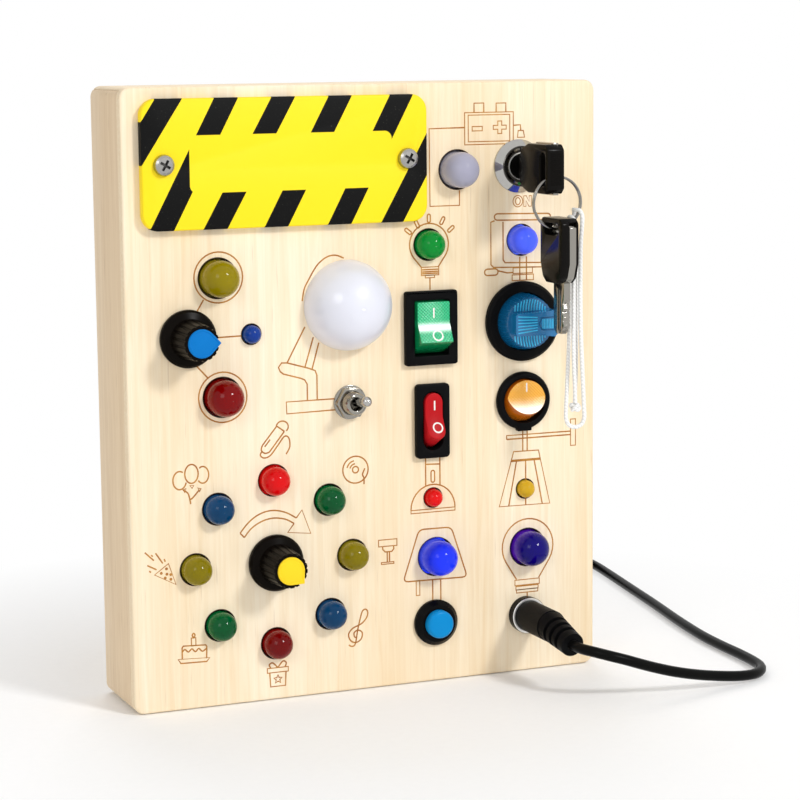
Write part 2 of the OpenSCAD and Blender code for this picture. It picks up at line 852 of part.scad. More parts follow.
// clear knob: ribbed shell, stem and a grip bar that points to the chosen side
module rotary_knob()
  color("deepskyblue")
    at_front(rotary_at)
      difference() {
        union() {
          rotate_extrude()
            polygon([[0, -11.5], [3, -11.5], [3, -2], [rotary_foot_d / 2, -2],
                     [rotary_foot_d / 2, 1], [rotary_face_d / 2, rotary_face],
                     [0, rotary_face]]);
          for (i = [0:rotary_ribs - 1])
            rotate([0, 0, (i + 0.5) * 360 / rotary_ribs])
              translate([rotary_foot_d / 2 - 0.15, 0, 1])
                rotate([0, -atan((rotary_foot_d - rotary_face_d) / 2 / (rotary_face - 1)), 0])
                  cylinder(r = 0.35, h = rotary_face - 1.4, $fn = 16);
          translate([0, 0, rotary_face])
            linear_extrude(rotary_grip_h)
              polygon([[-6.3, -rotary_grip_w / 2 + 0.6], [-5.7, -rotary_grip_w / 2],
                       [1.5, -rotary_grip_w / 2], [5.9, -rotary_grip_w / 2 - 0.6],
                       [7, -rotary_grip_w / 2 + 0.6], [7, rotary_grip_w / 2 - 0.6],
                       [5.9, rotary_grip_w / 2 + 0.6], [1.5, rotary_grip_w / 2],
                       [-5.7, rotary_grip_w / 2], [-6.3, rotary_grip_w / 2 - 0.6]]);
        }
        difference() {
          rod(rotary_foot_d / 2 - 1.4, -2 - skin, rotary_face - 1.5);
          rod(3, -2 - 2 * skin, rotary_face);
        }
      }

// ---- rocker switches ----
// what stays inside the housing's window in both end poses and in the middle one: the child is
// the window less its gap
module rocker_column(turn)
  rotate([turn, 0, 0])
    translate([0, 0, -2 * rocker_under])
      linear_extrude(20)
        children();

// two faces that meet in a shallow V over slanting walls
module rocker_solid(half_w, half_l, peak) {
  peak_at = (half_l - peak * sin(rocker_tilt)) / cos(rocker_tilt);
  valley = peak - peak_at * tan(rocker_tilt);
  brim = valley + half_l * tan(rocker_tilt);
  intersection() {
    rotate([0, 90, 0])
      translate([0, 0, -half_w - skin])
        linear_extrude(2 * (half_w + skin))
          polygon([[rocker_under, -half_l], [-brim, -half_l], [-valley, 0],
                   [-brim, half_l], [rocker_under, half_l]]);
    rocker_column(rocker_tilt) children();
    rocker_column(-rocker_tilt) children();
  }
}

// the rocker at rest: its lower end stands proud
module rocker_pose(place, pivot)
  at_front(place)
    translate([0, 0, pivot])
      rotate([-rocker_tilt, 0, 0])
        children();

module rocker_pins(half_w)
  rotate([0, 90, 0])
    rod(pin_r, -half_w - pin_in, half_w + pin_in);

module pin_bores(half_w, pivot)
  translate([0, 0, pivot])
    rotate([0, 90, 0])
      rod(pin_r + run_fit, -half_w - pin_in - 0.1, half_w + pin_in + 0.1);

module switch_tabs(spread, from)
  for (side = [-1, 0, 1])
    translate([0, side * spread, 0])
      bar(3.2, 0.8, from, panel_back - 8);

module green_housing()
  color("black")
    at_front(green_rocker_at)
      difference() {
        union() {
          linear_extrude(bezel_h)
            rounded_outline(green_bezel_w, green_bezel_h, 0.8);
          bar(green_bezel_w - 2.8, green_bezel_h - 2, -13, 0.5);
          switch_tabs(6, -18);
        }
        bar(2 * (green_half_w + 0.25), 2 * (green_half_l + free_fit), rocker_room, bezel_h + skin);
        pin_bores(green_half_w, green_pivot);
      }

module green_rocker()
  color("mediumseagreen")
    rocker_pose(green_rocker_at, green_pivot) {
      rocker_solid(green_half_w, green_half_l, green_peak)
        square([2 * green_half_w, 2 * green_half_l], center = true);
      rocker_pins(green_half_w);
    }

module red_housing()
  color("black")
    at_front(red_rocker_at)
      difference() {
        union() {
          linear_extrude(bezel_h)
            rounded_outline(red_bezel_w, red_bezel_h, 1.2);
          bar(red_bezel_w - 1.8, red_bezel_h - 2, -13, 0.5);
          switch_tabs(6, -18);
        }
        translate([0, 0, rocker_room])
          linear_extrude(bezel_h - rocker_room + skin)
            stadium_outline(2 * (red_half_w + free_fit), 2 * (red_half_l + free_fit));
        pin_bores(red_half_w - 0.3, red_pivot);
      }

module red_rocker()
  color("crimson")
    rocker_pose(red_rocker_at, red_pivot) {
      rocker_solid(red_half_w, red_half_l, red_peak)
        stadium_outline(2 * red_half_w, 2 * red_half_l);
      rocker_pins(red_half_w - 0.3);
    }

module amber_housing()
  color("black")
    at_front(amber_rocker_at)
      difference() {
        union() {
          rotate_extrude()
            polygon([[0, 0], [amber_bezel_d / 2, 0], [amber_bezel_d / 2, 1.3],
                     [amber_bezel_d / 2 - 0.7, bezel_h], [0, bezel_h]]);
          translate([-2.15, -amber_bezel_d / 2 - 0.4, 0])
            cube([4.3, 2, bezel_h]);
          rod(amber_bezel_d / 2 - 1.1, -13, 0.5);
          switch_tabs(4, -18);
        }
        rod(amber_r + free_fit, rocker_room, bezel_h + skin);
        pin_bores(amber_r - 0.6, amber_pivot);
      }

module amber_rocker()
  color("orange")
    rocker_pose(amber_rocker_at, amber_pivot) {
      rocker_solid(amber_r, amber_r, amber_peak)
        circle(amber_r);
      rocker_pins(amber_r - 0.6);
    }

// ---- toggle switch ----
module toggle_body()
  color("firebrick")
    at_front(toggle_at)
      difference() {
        union() {
          bar(8, 13, -12.5, panel_back);
          rod(toggle_bush_r, panel_back - 0.5, toggle_bush_out);
          for (side = [-1, 0, 1])
            translate([0, side * 4.7, 0])
              bar(2, 0.8, -16, -12);
        }
        rod(lever_ball_r + free_fit, toggle_hinge - 2.2, toggle_bush_out + skin);
        translate([0, 0, toggle_hinge])
          rotate([0, 90, 0])
            rod(0.5 + run_fit, -toggle_bush_r - skin, toggle_bush_r + skin);
      }

module toggle_nut()
  color("silver")
    at_front(toggle_at)
      difference() {
        union() {
          rod(4.8, 0, 0.5);
          hex(8, 0.5, 2.3);
        }
        rod(toggle_bush_r + run_fit, -skin, 3);
      }

module toggle_lever()
  color("silver")
    at_front(toggle_at)
      translate([0, 0, toggle_hinge])
        rotate([-toggle_tilt, 0, 0]) {
          sphere(lever_ball_r);
          rotate([0, 90, 0])
            rod(0.5, -toggle_bush_r + 0.2, toggle_bush_r - 0.2);
          cylinder(r1 = lever_foot_r, r2 = lever_tip_r, h = toggle_tip - toggle_hinge - lever_tip_r);
          translate([0, 0, toggle_tip - toggle_hinge - lever_tip_r])
            sphere(lever_tip_r);
        }

// ---- push button ----
module button_body()
  color("black")
    at_front(button_at)
      difference() {
        union() {
          rotate_extrude()
            polygon([[0, 0], [button_bezel_d / 2, 0], [button_bezel_d / 2, 1],
                     [button_bezel_d / 2 - 1.2, 2.3], [0, 2.3]]);
          rod(button_thread_r, button_floor - 1.5, 0.5);
          for (side = [-1, 1])
            translate([side * 2.5, 0, 0])
              bar(0.8, 2, -15, button_floor - 1);
        }
        rod(button_cap_d / 2 + hole_fit, -skin, 3);
        rod(button_flange_r + 0.15, button_floor, -0.3);
      }

module button_cap()
  color("deepskyblue")
    at_front(button_at) {
      rod(button_flange_r, -1.5, -0.5);
      rod(button_cap_d / 2, -1, button_top - 0.6);
      translate([0, 0, button_top - 0.6])
        cylinder(r1 = button_cap_d / 2, r2 = button_cap_d / 2 - 0.6, h = 0.6);
    }

module button_spring() {
  turns = 5;
  steps = 12;
  wire = 0.25;
  low = button_floor + wire;
  high = -1.5 - wire;
  helix = [for (i = [0:turns * steps])
             [3 * cos(360 * i / steps), 3 * sin(360 * i / steps),
              low + (high - low) * i / (turns * steps)]];
  color("silver")
    at_front(button_at)
      tube(helix, wire, [0, 0, 1], 8);
}

// ---- lock and keys ----
module lock_barrel()
  color("silver")
    at_front(lock_at)
      difference() {
        union() {
          rotate_extrude()
            polygon([[0, 0], [lock_bezel_d / 2, 0], [lock_bezel_d / 2, 0.6],
                     [lock_bezel_d / 2 - 1.75, lock_bezel_h], [0, lock_bezel_h]]);
          rod(lock_thread_r, lock_back, 0.5);
          for (side = [-1, 1])
            translate([side * 3, 0, 0])
              bar(0.8, 4, lock_back - 3, lock_back + 0.5);
        }
        rod(lock_bore_r, lock_back + 1.5, lock_bezel_h + skin);
      }

module lock_cylinder()
  color("gray")
    at_front(lock_at)
      difference() {
        union() {
          rod(lock_bore_r - run_fit, lock_back + 1.6, lock_bezel_h - 0.4);
          rod(3.6, 0, lock_bezel_h - 0.1);
        }
        translate([core_side - 0.1, -3.3, shoulder_out - blade_l - 0.8])
          cube([blade_t + 0.2, 6.6, lock_bezel_h + blade_l]);
      }

function bow_outline(end) =
  [[-3.3, 0], [-5.4, 1.6], [-bow_w / 2, 5.5], [-bow_w / 2, end - 1.4],
   [1.4 - bow_w / 2, end], [bow_w / 2 - 1.4, end], [bow_w / 2, end - 1.4],
   [bow_w / 2, 5.5], [5.4, 1.6], [3.3, 0]];

blade_outline = [[3.2, 0], [3.2, 9.7 - blade_l], [2.1, 8.5 - blade_l], [2.9, 7.3 - blade_l],
                 [1.9, 6.1 - blade_l], [2.9, 4.9 - blade_l], [2.2, 3.7 - blade_l],
                 [3.2, 2.7 - blade_l], [1.9, 1.3 - blade_l], [0.6, -blade_l],
                 [-1.6, -blade_l], [-3.2, 1.3 - blade_l], [-3.2, 0]];

module key_eye()
  translate([-bow_t, 0, eye_up])
    rotate([0, 90, 0])
      for (side = [-1, 1])
        eye_slot(side);

module eye_slot(side) {
  translate([0, side * eye_half, 0])
    cylinder(r = eye_r, h = 2 * bow_t);
  translate([-eye_r, min(0, side * eye_half), 0])
    cube([2 * eye_r, eye_half, 2 * bow_t]);
}

// key frame: X through the thickness, Y across, Z from the tip to the grip, shoulder at 0
module key_metal()
  difference() {
    translate([core_side, 0, 0])
      rotate([90, 0, 90])
        linear_extrude(blade_t)
          polygon(concat(bow_outline(bow_l - 1.2), blade_outline));
    key_eye();
    translate([core_side - 0.5, -0.8, -blade_l - skin])
      cube([1, 1.6, blade_l - 1]);
  }

module key_grip()
  difference() {
    translate([-bow_t / 2, 0, 0])
      rotate([90, 0, 90])
        linear_extrude(bow_t)
          polygon(bow_outline(bow_l));
    translate([core_side, -bow_w, -skin])
      cube([blade_t, 2 * bow_w, bow_l - 1.2 + skin]);
    key_eye();
  }

module in_lock()
  at_front(lock_at)
    translate([0, 0, shoulder_out])
      children();

module on_ring()
  translate([spare_x, front_y - ring_out, spare_eye_z - eye_up])
    mirror([0, 1, 0])
      children();

module key() color("silver") in_lock() key_metal();
module key_cover() color("black") in_lock() key_grip();
module spare_key() color("silver") on_ring() key_metal();
module spare_cover() color("black") on_ring() key_grip();

module key_ring()
  color("silver")
    translate([ring_x, front_y - ring_out, ring_z])
      rotate([90, 0, 0])
        rotate_extrude()
          translate([ring_r_mid, 0])
            circle(ring_wire / 2);

module key_string()
  color("white")
    translate([string_x, string_y, string_top]) {
      tube(smooth_path(string_route, 2), string_d / 2, [1, 1, 0]);
      translate(string_knot)
        cylinder(r = 1.5, h = 2.3);
    }

// ---- nuts behind the panel and under the knobs ----
module panel_nuts()
  color("silver") {
    for (place = [mode_at, selector_at])
      at_front(place)
        difference() {
          hex(knob_nut_af, 0, knob_nut_t);
          rod(bush_r + run_fit, -skin, 3);
        }
    at_front(rotary_at)
      difference() {
        rod(11.3, panel_back - 2, panel_back);
        rod(rotary_thread_r + run_fit, panel_back - 3, 0);
      }
    at_front(lock_at)
      difference() {
        hex(15, panel_back - 2.5, panel_back);
        rod(lock_thread_r + run_fit, panel_back - 4, 0);
      }
    at_front(button_at)
      difference() {
        hex(12, panel_back - 2, panel_back);
        rod(button_thread_r + run_fit, panel_back - 3, 0);
      }
    at_front(jack_at)
      difference() {
        hex(10.5, panel_back - 2, panel_back);
        rod(jack_thread_r + run_fit, panel_back - 3, 0);
      }
  }

// ---- power socket, plug and lead ----
module dc_jack()
  color("black")
    at_front(jack_at) {
      difference() {
        union() {
          rod(jack_collar_d / 2, 0, jack_collar_h);
          rod(jack_thread_r, -14, 0.5);
          for (side = [-1, 1])
            translate([side * 2, 0, 0])
              bar(0.8, 2.4, -17, -13.5);
        }
        rod(jack_bore_r, -9, jack_collar_h + skin);
      }
      rod(0.95, -9.5, 0);
    }

module dc_plug()
  color("black")
    at_front(jack_at) {
      difference() {
        union() {
          rod(jack_bore_r - run_fit, -7, jack_collar_h + 0.5);
          rod(plug_r, jack_collar_h, plug_straight);
        }
        rod(1.2, -7 - skin, 3);
      }
      translate([0, 0, plug_straight])
        relief_bend()
          difference() {
            cylinder(r1 = plug_r - 0.2, r2 = relief_r, h = relief_l);
            for (step = [0:2])
              rod_ring(relief_r - 0.8, plug_r + skin, 3 + 3 * step, 1.4);
          }
      translate([0, 0, plug_straight])
        sphere(plug_r - 0.2);
    }

// the relief droops and leans a little to the right
module relief_bend()
  rotate([relief_tilt, 1.3, 0])
    children();

module rod_ring(r_in, r_out, from, length)
  difference() {
    rod(r_out, from, from + length);
    rod(r_in, from - skin, from + length + skin);
  }

module power_cord()
  color("black") {
    tube(smooth_path(lead_route, 3), cord_d / 2, [0, 0, 1]);
    tube(smooth_path(tail_route, 3), cord_d / 2, [0, 0, 1]);
  }

// outer shape of the coiled length, with its tie
module cord_coil()
  color("black")
    translate([coil_at[0], coil_at[1], 0]) {
      rotate_extrude()
        translate([coil_in_r - cord_d / 2, 0])
          square([coil_out_r - coil_in_r + cord_d, coil_layers * cord_d]);
      rotate([0, 0, 120])
        translate([coil_in_r - cord_d / 2 - 0.6, -2.5, 0])
          cube([coil_out_r - coil_in_r + cord_d + 1.2, 5, coil_layers * cord_d + 0.6]);
    }

module usb_plug()
  color("dimgray")
    translate(usb_at) {
      translate([-usb_grip[0] / 2, -usb_grip[1], -usb_grip[2] / 2])
        cube(usb_grip);
      translate([-usb_shell[0] / 2, -usb_grip[1] - usb_shell[1], -usb_shell[2] / 2])
        cube([usb_shell[0], usb_shell[1] + skin, usb_shell[2]]);
    }

// ---- circuit board and wires ----
module circuit_board()
  color("green")
    at_front(pcb_at) {
      bar(pcb_w, pcb_h, pcb_front - pcb_t, pcb_front);
      translate([-14, -8, 0])
        bar(9, 7, pcb_front - 0.5, pcb_front + 1.6);
      translate([6, -10, 0])
        bar(12, 5, pcb_front - 0.5, pcb_front + 3);
      translate([-20, 12, 0])
        rod(2.5, pcb_front - 0.5, pcb_front + 4);
    }

module board_spacers()
  color("white")
    for (sx = [-1, 1], sz = [-1, 1])
      at_front(pcb_at + [sx * (pcb_w / 2 - 4), sz * (pcb_h / 2 - 4)])
        rod(spacer_r, room_back, room_back + spacer_h);

pcb_left = pcb_at[0] - pcb_w / 2;
pcb_top = pcb_at[1] + pcb_h / 2;
// one row of wire: height, from, to
wire_rows = concat(
  [for (place = [lock_at, blue_at, rotary_at, amber_rocker_at, red_rocker_at])
     [place[1], trunk_x, place[0]]],
  [for (place = [olive_at, dome_at, mode_at, dark_red_at, toggle_at, ring_at(0)])
     [place[1], place[0], trunk_x]],
  [for (i = [1:3]) [ring_at(i)[1], ring_at(8 - i)[0], pcb_left]],
  [[ring_at(4)[1], ring_at(4)[0], pcb_left]]);
// places where a wire comes forward, with the depth of the contact it meets
wire_ends = concat([for (place = all_leds) if (!over_pcb(place)) [place, lead_end]],
                   [[mode_at, lead_end], [selector_at, lead_end], [toggle_at, lead_end],
                    [dome_at, panel_back - pcb_t], [green_rocker_at, -18], [red_rocker_at, -18],
                    [amber_rocker_at, -18], [rotary_at, -19], [lock_at, lock_back - 3]]);

module wire_loom()
  color("firebrick") {
    translate([trunk_x, front_y - wire_deep, pcb_top])
      cylinder(r = trunk_r, h = lock_at[1] - pcb_top + trunk_r);
    for (row = wire_rows)
      translate([row[1], front_y - wire_deep, row[0]])
        rotate([0, 90, 0])
          cylinder(r = wire_r, h = row[2] - row[1]);
    for (end = wire_ends)
      at_front(end[0]) {
        rod(wire_r, wire_deep, end[1] - 0.5);
        rod(sleeve_r, max(wire_deep, end[1] - sleeve_l), end[1]);
      }
  }

frame_left();
frame_right();
frame_top();
frame_bottom();
front_panel();
back_panel();
back_screws();
sign_plate();
sign_screws();
led_grey();
leds_olive();
leds_dark_red();
leds_lit_blue();
led_purple();
leds_green();
leds_dark_blue();
leds_lit_red();
led_yellow();
led_leads();
lamp_dome();
lamp_board();
rotary_switches();
rotary_bezel();
rotary_body();
green_housing();
red_housing();
amber_housing();
toggle_body();
toggle_nut();
button_body();
button_spring();
lock_barrel();
panel_nuts();
dc_jack();
circuit_board();
board_spacers();
wire_loom();
mode_knob();
mode_cap();
mode_shaft();
selector_knob();
selector_cap();
selector_shaft();
rotary_knob();
green_rocker();
red_rocker();
amber_rocker();
toggle_lever();
button_cap();
lock_cylinder();
key();
key_cover();
key_ring();
spare_key();
spare_cover();
key_string();
dc_plug();
power_cord();
cord_coil();
usb_plug();
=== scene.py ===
"""Upright wooden activity board with lamps, switches, a key lock and a lead, dressed around its
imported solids. Places are in millimetres: x to the right, z up from the foot, "out" in front
of the front face."""
import math

import bpy
from mathutils import Matrix, Vector


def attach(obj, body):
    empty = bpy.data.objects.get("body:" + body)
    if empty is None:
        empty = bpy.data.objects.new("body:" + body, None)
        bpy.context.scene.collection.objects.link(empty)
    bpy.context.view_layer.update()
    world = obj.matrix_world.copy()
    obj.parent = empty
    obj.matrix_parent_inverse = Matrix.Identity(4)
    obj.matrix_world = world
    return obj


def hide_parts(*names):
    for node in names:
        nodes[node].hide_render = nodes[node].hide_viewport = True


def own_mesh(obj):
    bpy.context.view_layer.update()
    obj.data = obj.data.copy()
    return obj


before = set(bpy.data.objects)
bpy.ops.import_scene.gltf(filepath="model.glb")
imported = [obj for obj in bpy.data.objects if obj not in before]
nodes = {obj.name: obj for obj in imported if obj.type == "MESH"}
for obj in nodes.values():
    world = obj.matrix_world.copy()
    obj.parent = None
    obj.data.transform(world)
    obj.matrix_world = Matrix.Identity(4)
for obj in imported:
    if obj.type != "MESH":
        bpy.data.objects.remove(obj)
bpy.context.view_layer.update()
scene = bpy.context.scene

MM = 0.001
# the board: half its width, its height, where its front face lies, how thick the front panel is,
# and how far its four corners and the rim of its face are rounded
HALF_WIDTH = 70
TALL = 170
FRONT = -14.0
PANEL = 3
CORNER_RADIUS = 3
FACE_ROUNDING = 0.7
SELECTOR_RING = 23  # distance of the eight lamps from the selector's middle

LAMPS = {
    "grey": (27.1, 145.7, 10), "olive": (-43.8, 118.5, 10), "dark_red": (-43.1, 86, 10),
    "lit_blue": (19.8, 36.2, 10), "purple": (48.6, 36.4, 10), "green": (18.2, 125.1, 8),
    "blue": (46.8, 125.3, 8), "small_blue": (-34.5, 102.8, 5), "small_red": (19, 53.3, 5),
    "yellow": (47.9, 53.6, 5),
}
SELECTOR = (-28.8, 39)
for eighth in range(8):
    turn = math.radians(45 * eighth)
    LAMPS[f"ring_{eighth}"] = (SELECTOR[0] + SELECTOR_RING * math.sin(turn),
                               SELECTOR[1] + SELECTOR_RING * math.cos(turn), 8)
MODE = (-52.8, 102.6)
DOME = (-6.5, 109.4)
TOGGLE = (-6, 82.3)
GREEN_ROCKER = (18.3, 101.85)
RED_ROCKER = (18.5, 75.5)
AMBER_ROCKER = (47, 79.4)
ROTARY = (46.9, 102.2)
LOCK = (45.9, 146.2)
BUTTON = (19.4, 17.2)
JACK = (47.9, 16.7)
SIGN = (-24.2, 149.4)
SIGN_HALF = (41, 17.5)
SIGN_SCREWS = [(SIGN[0] - 35, SIGN[1]), (SIGN[0] + 35, SIGN[1])]
KEY_RING = (47.8, -35, 136.9)


def at(x, z, out=0.0):
    """A place on the front, in metres"""
    return Vector((x * MM, (FRONT - out) * MM, z * MM))


# ---- camera: a long lens to the left of the board, a little above its middle ----
camera_data = bpy.data.cameras.new("camera")
camera_data.lens = 110.323
camera_data.sensor_width = 36
camera_data.clip_start = 0.01
camera = bpy.data.objects.new("camera", camera_data)
camera.location = (-0.252747, -0.641009, 0.180892)
camera.rotation_euler = [math.radians(a) for a in (81.7079, 0.5535, -22.7519)]
scene.collection.objects.link(camera)
scene.camera = camera


# ---- shared helpers ----
def linear(colour):
    """An sRGB hex colour as linear values"""
    parts = [int(colour[i:i + 2], 16) / 255 for i in (1, 3, 5)]
    return [p / 12.92 if p <= 0.04045 else ((p + 0.055) / 1.055) ** 2.4 for p in parts] + [1.0]


def give(material, socket, value):
    """Sets a socket to a plain value, or links it; a node gives its first output in use"""
    if isinstance(value, bpy.types.Node):
        value = next(output for output in value.outputs if output.enabled)
    if isinstance(value, bpy.types.NodeSocket):
        material.node_tree.links.new(value, socket)
    else:
        socket.default_value = value


def add(material, kind, inputs=None, **settings):
    """One node with its settings, its values and what feeds it"""
    made = material.node_tree.nodes.new(kind)
    for name, value in settings.items():
        setattr(made, name, value)
    for socket, value in (inputs or {}).items():
        give(material, made.inputs[socket], value)
    return made


def feed(material, shader, **sources):
    """Gives values and patterns to the shader's sockets"""
    for socket, source in sources.items():
        give(material, shader.inputs[socket.replace("_", " ")], source)


def new_material(name, **values):
    """A material whose shader starts from the given values, with the shader and the piece's own
    coordinates, which every pattern reads"""
    material = bpy.data.materials.new(name)
    material.use_nodes = True
    shader = material.node_tree.nodes["Principled BSDF"]
    feed(material, shader, **values)
    return material, shader, add(material, "ShaderNodeTexCoord").outputs["Object"]


def deselect():
    """Object mode with nothing selected"""
    if bpy.context.mode != "OBJECT":
        bpy.ops.object.mode_set(mode="OBJECT")
    bpy.ops.object.select_all(action="DESELECT")


def alone(piece):
    """Only this piece is selected and active"""
    deselect()
    piece.select_set(True)
    bpy.context.view_layer.objects.active = piece


def joined(pieces):
    """All pieces in one, which keeps the first one's name"""
    alone(pieces[0])
    for piece in pieces:
        piece.select_set(True)
    bpy.ops.object.join()
    return pieces[0]


def whole_mesh_in_edit(piece):
    """Edit mode with every point of the piece selected"""
    alone(piece)
    bpy.ops.object.mode_set(mode="EDIT")
    bpy.ops.mesh.select_all(action="SELECT")


def modify(piece, kind, **settings):
    """Adds a modifier and applies it"""
    alone(piece)
    modifier = piece.modifiers.new(kind.title(), kind)
    for name, value in settings.items():
        setattr(modifier, name, value)
    bpy.ops.object.modifier_apply(modifier=modifier.name)


def cut_away(piece, cutter):
    """Takes the cutter's shape out of the piece"""
    modify(piece, "BOOLEAN", operation="DIFFERENCE", object=cutter, solver="EXACT")
    bpy.data.objects.remove(cutter)


def round_edges(piece, width, segments=2):
    """Rounds the sharp edges by so many millimetres"""
    modify(piece, "BEVEL", width=width * MM, segments=segments, limit_method="ANGLE",
           angle_limit=math.radians(30), use_clamp_overlap=False)
    smooth(piece)


def smooth(piece, angle=32):
    """Smooth shading, except over edges sharper than the angle"""
    alone(piece)
    bpy.ops.object.shade_smooth_by_angle(angle=math.radians(angle))


def settle(piece):
    """Puts the piece's place, turn and size into its mesh"""
    alone(piece)
    bpy.ops.object.transform_apply(location=True, rotation=True, scale=True)


def paint(piece, *materials):
    """The piece wears these materials and no others"""
    piece.data.materials.clear()
    for material in materials:
        piece.data.materials.append(material)


def finish_piece(piece, body, material, slot=None, replaces=()):
    """Paints a piece, puts it on the body it rides on and hides the CAD nodes it stands for; a
    piece with several materials is painted before. The slot is not used."""
    if material is not None:
        paint(piece, material)
    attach(piece, body)
    if replaces:
        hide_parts(*replaces)


def softened(name, node, width, segments=2):
    """A copy of a CAD node, its triangles merged to whole faces and its edges rounded"""
    piece = bpy.data.objects.new(name, nodes[node].data.copy())
    scene.collection.objects.link(piece)
    whole_mesh_in_edit(piece)
    bpy.ops.mesh.customdata_custom_splitnormals_clear()
    bpy.ops.mesh.remove_doubles(threshold=2e-6)
    bpy.ops.mesh.dissolve_limited(angle_limit=math.radians(0.3))
    bpy.ops.object.mode_set(mode="OBJECT")
    round_edges(piece, width, segments)
    return piece


def box_piece(name, low, high):
    """A block between two corners, in millimetres"""
    deselect()
    middle = [(a + b) / 2 * MM for a, b in zip(low, high)]
    bpy.ops.mesh.primitive_cube_add(size=1, location=middle)
    piece = bpy.context.object
    piece.name = name
    piece.scale = [abs(b - a) * MM for a, b in zip(low, high)]
    settle(piece)
    return piece


def around(place, out, turn=0.0):
    """Puts a drawing round a place, so far in front of the board and turned by so many degrees"""
    across, along = math.cos(math.radians(turn)), math.sin(math.radians(turn))

    def put(x, y, lift):
        return at(place[0] + x * across - y * along, place[1] + x * along + y * across, out + lift)
    return put


def drawn_start(name, points, edges, faces):
    """A new piece that starts from a drawn line or face, all selected in edit mode"""
    deselect()
    bpy.ops.mesh.primitive_plane_add(size=MM, location=(0, 0, 0))
    piece = bpy.context.object
    piece.name = name
    piece.data.clear_geometry()
    piece.data.from_pydata(points, edges, faces)
    whole_mesh_in_edit(piece)
    return piece


def lathe(name, profile, place, steps=64):
    """A turned piece: profile points are (radius, out) in millimetres, spun round the line out
    of the front at place"""
    piece = drawn_start(name, [(r * MM, -h * MM, 0) for r, h in profile],
                        [(i, i + 1) for i in range(len(profile) - 1)], [])
    bpy.ops.mesh.spin(steps=steps, angle=2 * math.pi, center=(0, 0, 0), axis=(0, 1, 0))
    bpy.ops.mesh.select_all(action="SELECT")
    bpy.ops.mesh.remove_doubles(threshold=1e-6)
    bpy.ops.mesh.normals_make_consistent(inside=False)
    bpy.ops.object.mode_set(mode="OBJECT")
    piece.data.transform(Matrix.Translation(at(*place)))
    smooth(piece)
    return piece


def slab(name, outline, low, high, place, turn):
    """A flat piece between two heights in front of the board; its outline, in millimetres, lies
    round place and is turned by the given degrees"""
    put = around(place, low, turn)
    piece = drawn_start(name, [put(x, z, 0) for x, z in outline], [],
                        [list(range(len(outline)))])
    bpy.ops.mesh.extrude_region_move(
        TRANSFORM_OT_translate={"value": (0, (low - high) * MM, 0)})
    bpy.ops.mesh.select_all(action="SELECT")
    bpy.ops.mesh.normals_make_consistent(inside=False)
    bpy.ops.object.mode_set(mode="OBJECT")
    return piece


def strokes(name, lines, width, thickness, put):
    """Flat drawn lines: lists of (x, y) in millimetres that put(x, y, height) places"""
    curve = bpy.data.curves.new(name, "CURVE")
    curve.dimensions = "3D"
    curve.bevel_depth = width / 2 * MM
    curve.bevel_resolution = 1
    curve.use_fill_caps = True
    for line in lines:
        loop = line[0] == line[-1] and len(line) > 2
        points = line[:-1] if loop else line
        spline = curve.splines.new("POLY")
        spline.points.add(len(points) - 1)
        spline.use_cyclic_u = loop
        for point, (x, y) in zip(spline.points, points):
            point.co = (x * MM, y * MM, 0, 1)
    piece = bpy.data.objects.new(name, curve)
    scene.collection.objects.link(piece)
    alone(piece)
    bpy.ops.object.convert(target="MESH")
    piece = bpy.context.object
    for vertex in piece.data.vertices:
        x, y, z = vertex.co
        vertex.co = put(x / MM, y / MM, z / MM * thickness / width)
    smooth(piece)
    return piece


# ---- the lead: the visible run, the coil behind the board and the tail to the plug ----
LEAD_EXIT = (48.2, -43.74, 14.11)
LEAD_RUN = [
    LEAD_EXIT, (48.7, -48.2, 14), (50.8, -52.1, 13.7), (54.4, -54.9, 12.8), (58.7, -56, 11.5),
    (63.2, -56.2, 9.9), (68.2, -56, 8.2), (74.2, -55.7, 6.4), (81.2, -55.1, 4.7),
    (88.6, -54.3, 3.3), (95.6, -53.5, 2.3), (101.3, -52, 1.8), (105.6, -49, 1.6),
    (108.4, -44.7, 1.6), (109.6, -39.5, 1.6), (110.2, -34, 1.6), (110.6, -27, 1.6),
    (111, -18, 1.5), (112, -4, 1.5), (115, 16, 1.5), (119, 38, 1.5), (123, 62, 1.5),
    (127, 86, 1.5), (129, 100, 1.5),
]
COIL_MIDDLE = (110.5, 114)
# each turn as radius and height at its start
COIL_TURNS = [(19, 1.5), (16, 1.5), (16, 4.5), (16, 7.5), (19, 7.5), (19, 4.5)]


def coil_points():
    """Five and a half turns in two rings and three layers"""
    steps = 24  # to one turn
    points = []
    for index in range(5 * steps + steps // 2 + 1):
        turn, part = divmod(index, steps)
        radius, height = COIL_TURNS[turn]
        if turn < 5:
            # the last quarter of a turn leads over to the next one
            ease = max(0.0, part / steps - 0.75) * 4
            ease = ease * ease * (3 - 2 * ease)
            radius += (COIL_TURNS[turn + 1][0] - radius) * ease
            height += (COIL_TURNS[turn + 1][1] - height) * ease
        angle = 2 * math.pi * index / steps
        points.append((COIL_MIDDLE[0] + radius * math.cos(angle),
                       COIL_MIDDLE[1] + radius * math.sin(angle), height))
    return points


def smooth_line(points, between):
    """A line through all points with rounded corners"""
    line = []
    for i in range(len(points) - 1):
        a, b = Vector(points[max(i - 1, 0)]), Vector(points[i])
        c, d = Vector(points[i + 1]), Vector(points[min(i + 2, len(points) - 1)])
        for k in range(between):
            t = k / between
            line.append(0.5 * ((2 * b) + (c - a) * t + (2 * a - 5 * b + 4 * c - d) * t * t
                               + (3 * b - a - 3 * c + d) * t * t * t))
    line.append(Vector(points[-1]))
    return line


